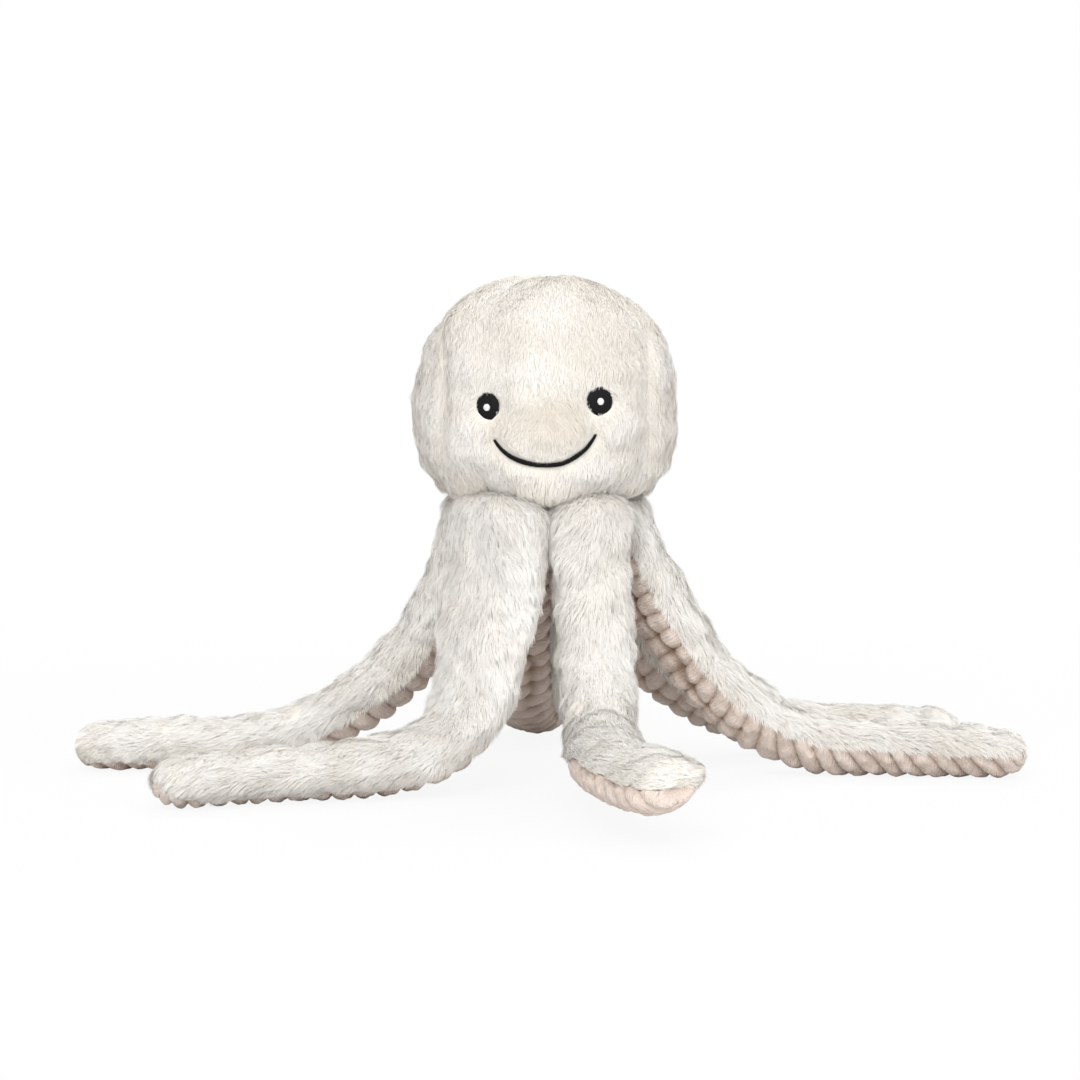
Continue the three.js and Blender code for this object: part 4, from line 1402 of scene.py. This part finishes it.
    def build(self) -> None:
        """Makes the head's pieces and its face."""
        self.fill()
        self.underside()
        self.panels()
        Face(self.sizes, self.shape, self.pile_inset).build()


@dataclass(frozen=True)
class Eye:
    """What differs between the two eyes: the side, shares of the usual size, and the lean to the right."""

    side: str
    way: int
    width_share: float
    height_share: float
    lean_deg: float


@dataclass
class Face:
    """The embroidery: satin-stitched eyes with white highlights, and a stitched smile."""

    sizes: ToySizes
    shape: HeadShape
    cloth_inset: float
    stitch_pitch: float = 0.46
    stitch_radius: float = 0.3
    eye_raise: float = 1.2
    eye_bulge: float = 0.9
    glint_raise: float = 1.25
    glint_bulge: float = 0.3
    smile_raise: float = 1.5
    pair: tuple[Eye, Eye] = (Eye("left", -1, 1.05, 1.09, -3.0), Eye("right", 1, 1.12, 1.1, 6.0))

    def on_face(self, x: float, z: float, raised: float) -> Matrix:
        """A place on the face's cloth at face coordinates.

        Args:
            x: Millimetres to the right of the middle of the face.
            z: Millimetres above the neck, along the face.
            raised: How far the place stands out from the cloth.

        Returns:
            The place, turned so that its Y axis points into the head.
        """
        roll = math.radians(self.sizes.face_roll_deg)
        place = np.array([x * math.cos(roll) - z * math.sin(roll), x * math.sin(roll) + z * math.cos(roll)])
        place[0] += self.sizes.face_shift
        height = place[1] + self.sizes.neck_height

        def front(px: float, pz: float) -> float:
            return float(self.shape.front(np.array(px), np.array(pz), self.cloth_inset))

        y = front(place[0], height)
        raised += float(self.shape.relief(np.array([[place[0], y, height]]))[0])
        slope_x = (front(place[0] + 1, height) - front(place[0] - 1, height)) / 2
        slope_z = (front(place[0], height + 1) - front(place[0], height - 1)) / 2
        inward = Vector((-slope_x, 1, -slope_z)).normalized()
        across = Vector((math.cos(roll), 0, math.sin(roll)))
        across = (across - inward * across.dot(inward)).normalized()
        upward = across.cross(inward)
        turned = Matrix((across, inward, upward)).transposed().to_4x4()
        centre = Vector(self.shape.centre) + Vector((place[0], y, height)) - inward * raised
        return Matrix.Translation(centre) @ turned

    def stitch(self, bm: bmesh.types.BMesh, place: Matrix, length: float, sag: float) -> None:
        """Adds one satin stitch along its place's X axis, whose ends dip by sag."""
        half = length / 2
        made = bmesh.ops.create_uvsphere(bm, u_segments=8, v_segments=10, radius=1)
        turn = Matrix.Rotation(math.pi / 2, 4, "Y")
        scale = Matrix.Diagonal((half + self.stitch_radius, self.stitch_radius, self.stitch_radius, 1))
        bmesh.ops.transform(bm, matrix=scale @ turn, verts=made["verts"])
        for vertex in made["verts"]:
            vertex.co.y += sag * (vertex.co.x / half) ** 2
        bmesh.ops.transform(bm, matrix=place, verts=made["verts"])

    def oval(
        self,
        name: str,
        place: Matrix,
        width: float,
        height: float,
        bulge: float,
        lean_deg: float,
        finish: Finish,
    ) -> bpy.types.Object:
        """A satin-stitched oval: a padded ground with threads across it.

        Args:
            name: The piece's name.
            place: Its middle, on the face.
            width: Its width.
            height: Its height.
            bulge: How far its middle stands out from its edge.
            lean_deg: How far its top leans to the right.
            finish: Its thread.

        Returns:
            The piece's object.
        """
        bm = bmesh.new()
        tilt = Matrix.Rotation(math.radians(lean_deg), 4, "Y")
        bmesh.ops.create_uvsphere(
            bm, u_segments=40, v_segments=20, radius=1,
            matrix=place @ tilt @ Matrix.Diagonal((width / 2, bulge + 0.4, height / 2, 1)),
        )
        count = max(round(height / self.stitch_pitch), 3)
        for i in range(count):
            level = (i + 0.5) / count * 2 - 1
            chord = math.sqrt(1 - level * level)
            offset = Vector((0, -bulge * chord, level * height / 2))
            spot = place @ tilt @ Matrix.Translation(offset)
            self.stitch(bm, spot, width * (chord + 0.05 * (-1) ** i), bulge * chord)
        return Piece.placed(name, Sheet.meshed(bm), finish)

    def eyes(self) -> None:
        """Both eyes and their highlights."""
        sizes = self.sizes
        black = ThreadFinish()
        white = ThreadFinish(name="white_thread", tone=Tone.WHITE_THREAD, roughness=0.6)
        for eye in self.pair:
            place = self.on_face(eye.way * sizes.eye_spacing / 2, sizes.eye_level, self.eye_raise)
            width, height = sizes.eye_width * eye.width_share, sizes.eye_height * eye.height_share
            name = f"{eye.side}_eye_stitching"
            oval = self.oval(name, place, width, height, self.eye_bulge, eye.lean_deg, black)
            front = place @ Matrix.Translation(Vector((0, -self.glint_raise, 0)))
            name, across = f"{eye.side}_eye_highlight_stitching", sizes.glint_diameter
            glint = self.oval(name, front, across, across, self.glint_bulge, 0, white)
            Piece.on_head(oval, f"eye_{eye.side}", "black_thread")
            Piece.on_head(glint, f"eye_highlight_{eye.side}", "white_thread")

    def smile(self) -> None:
        """The smile: short stitches side by side along an arc, thinner towards its ends."""
        sizes = self.sizes
        radius, middle, spread = self.shape.smile_arc()
        bm = bmesh.new()
        count = round(2 * spread * radius / (self.stitch_pitch * 0.9))
        rng = np.random.default_rng(5)
        for i in range(count + 1):
            share = 2 * i / count - 1
            turn = spread * share
            thread = sizes.smile_tip_thread + (sizes.smile_thread - sizes.smile_tip_thread) * (1 - share**4)
            place = self.on_face(radius * math.sin(turn), middle - radius * math.cos(turn), self.smile_raise)
            slant = math.radians(90 - 14) - turn + float(rng.normal(scale=0.04))
            turned = place @ Matrix.Rotation(slant, 4, "Y")
            self.stitch(bm, turned, thread * float(rng.uniform(0.9, 1.05)), 0.3)
        piece = Piece.placed("smile_stitching", Sheet.meshed(bm), ThreadFinish())
        Piece.on_head(piece, "smile", "black_thread")

    def build(self) -> None:
        """Makes the embroidery."""
        self.eyes()
        self.smile()


@dataclass(frozen=True)
class Lamp:
    """A square soft lamp that faces the toy: its place and size in metres, and its power in watts."""

    name: str
    place: tuple[float, float, float]
    size: float
    power: float

    def hang(self) -> None:
        """Puts the lamp into the scene."""
        data = bpy.data.lights.new(self.name, "AREA")
        data.shape = "SQUARE"
        data.size = self.size
        data.energy = self.power
        lamp = bpy.data.objects.new(self.name, data)
        lamp.location = self.place
        lamp.rotation_euler = (Vector((0, 0, 0.1)) - Vector(self.place)).to_track_quat("-Z", "Y").to_euler()
        bpy.context.scene.collection.objects.link(lamp)


@dataclass
class Studio:
    """The pale floor, the soft lamps, the surrounding light and the camera."""

    camera_distance: float = 1700.0
    camera_elevation_deg: float = 5.0
    camera_target: tuple[float, float, float] = (-2.5, 0.0, 118.0)
    focal_pixels: float = 3400.0
    photo_pixels: float = 1080.0
    sensor_mm: float = 36.0
    shadow_reach: float = 0.3
    white_reach: float = 0.75
    near_glow: float = 0.9
    world_light: float = 0.62
    lamps: tuple[Lamp, Lamp, Lamp] = (
        Lamp("key_lamp", (-0.3, -1.8, 1.5), 1.6, 35),
        Lamp("fill_lamp", (1.5, -1.2, 1.1), 1.4, 10),
        Lamp("back_lamp", (0.3, 1.2, 2.0), 1.2, 18),
    )

    def camera(self, centre: Array) -> None:
        """Looks at the toy as the photograph does."""
        target = Vector(self.camera_target) + Vector(centre)
        rise = math.radians(self.camera_elevation_deg)
        data = bpy.data.cameras.new("camera")
        data.sensor_width = self.sensor_mm
        data.lens = self.focal_pixels / self.photo_pixels * self.sensor_mm
        view = bpy.data.objects.new("camera", data)
        back = Vector((0, -math.cos(rise), math.sin(rise))) * self.camera_distance
        view.location = (target + back) * MM
        view.rotation_euler = (math.radians(90) - rise, 0, 0)
        bpy.context.scene.collection.objects.link(view)
        bpy.context.scene.camera = view

    def floor(self) -> None:
        """A wide pale floor that shows white to the camera and keeps the toy's shadow."""
        bm = bmesh.new()
        bmesh.ops.create_grid(bm, x_segments=1, y_segments=1, size=12)
        mesh = bpy.data.meshes.new("floor")
        bm.to_mesh(mesh)
        bm.free()
        floor = bpy.data.objects.new("floor", mesh)
        material = bpy.data.materials.new("pale_floor")
        wiring = Wiring(material)
        plain = {"Base Color": Tone.FLOOR, "Roughness": 1.0, "Specular IOR Level": 0.0}
        shader = wiring.feed(wiring.tree.nodes["Principled BSDF"], plain)
        glow = wiring.node("Emission")
        self.seen_white(wiring, self.far_off(wiring), shader, glow, "Material Output")
        mesh.materials.append(material)
        bpy.context.scene.collection.objects.link(floor)

    def far_off(self, wiring: Wiring) -> bpy.types.NodeSocket:
        """How white the floor shines by itself: fully far from the toy, and less where its shadow lies."""
        place = wiring.node("TexCoord").outputs["Object"]
        length = wiring.node("VectorMath", {0: place}, operation="LENGTH").outputs["Value"]
        limits = {"From Min": self.shadow_reach, "From Max": self.white_reach, "To Min": self.near_glow}
        fade = wiring.node("MapRange", {**limits, "Value": length}, interpolation_type="SMOOTHSTEP")
        return fade.outputs["Result"]

    @staticmethod
    def seen_white(wiring: Wiring, strength, plain: bpy.types.Node, white: bpy.types.Node, end: str) -> None:
        """Puts white in place of a plain shader for what is seen directly, mirrored or through glass.

        Args:
            wiring: The nodes that both belong to.
            strength: How much of the white shows, as a number or a socket.
            plain: The shader that lights and shades the toy.
            white: The shader that is seen.
            end: The name of the output node.
        """
        path = wiring.node("LightPath")
        seen = path.outputs["Is Camera Ray"]
        for name in ("Is Glossy Ray", "Is Transmission Ray"):
            seen = wiring.node("Math", {0: seen, 1: path.outputs[name]}, operation="MAXIMUM").outputs[0]
        seen = wiring.node("Math", {0: seen, 1: strength}, operation="MULTIPLY").outputs[0]
        both = wiring.node("MixShader", {0: seen, 1: plain.outputs[0], 2: white.outputs[0]})
        wiring.feed(wiring.tree.nodes[end], {0: both.outputs[0]})

    def world(self, strength: float) -> None:
        """Even light from all round, in front of a white background."""
        world = bpy.data.worlds.new("studio")
        wiring = Wiring(world)
        white = (1, 1, 1, 1)
        plain = wiring.feed(wiring.tree.nodes["Background"], {"Color": white, "Strength": strength})
        self.seen_white(wiring, 1.0, plain, wiring.node("Background", {"Color": white}), "World Output")
        bpy.context.scene.world = world

    def build(self, centre: Array) -> None:
        """Makes the surroundings."""
        self.camera(centre)
        self.floor()
        self.world(self.world_light)
        for lamp in self.lamps:
            lamp.hang()
        scene = bpy.context.scene
        scene.view_settings.view_transform = "Standard"


def main() -> None:
    """Builds the toy around its frame and reports each piece."""
    logging.basicConfig(level=logging.INFO, format="%(message)s")
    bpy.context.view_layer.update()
    sizes = ToySizes()
    head = Head(sizes)
    Studio().build(head.shape.centre)
    head.build()
    for number, pose in enumerate(ARM_POSES):
        Arm(pose, sizes, number).build()


if __name__ == "__main__":
    main()
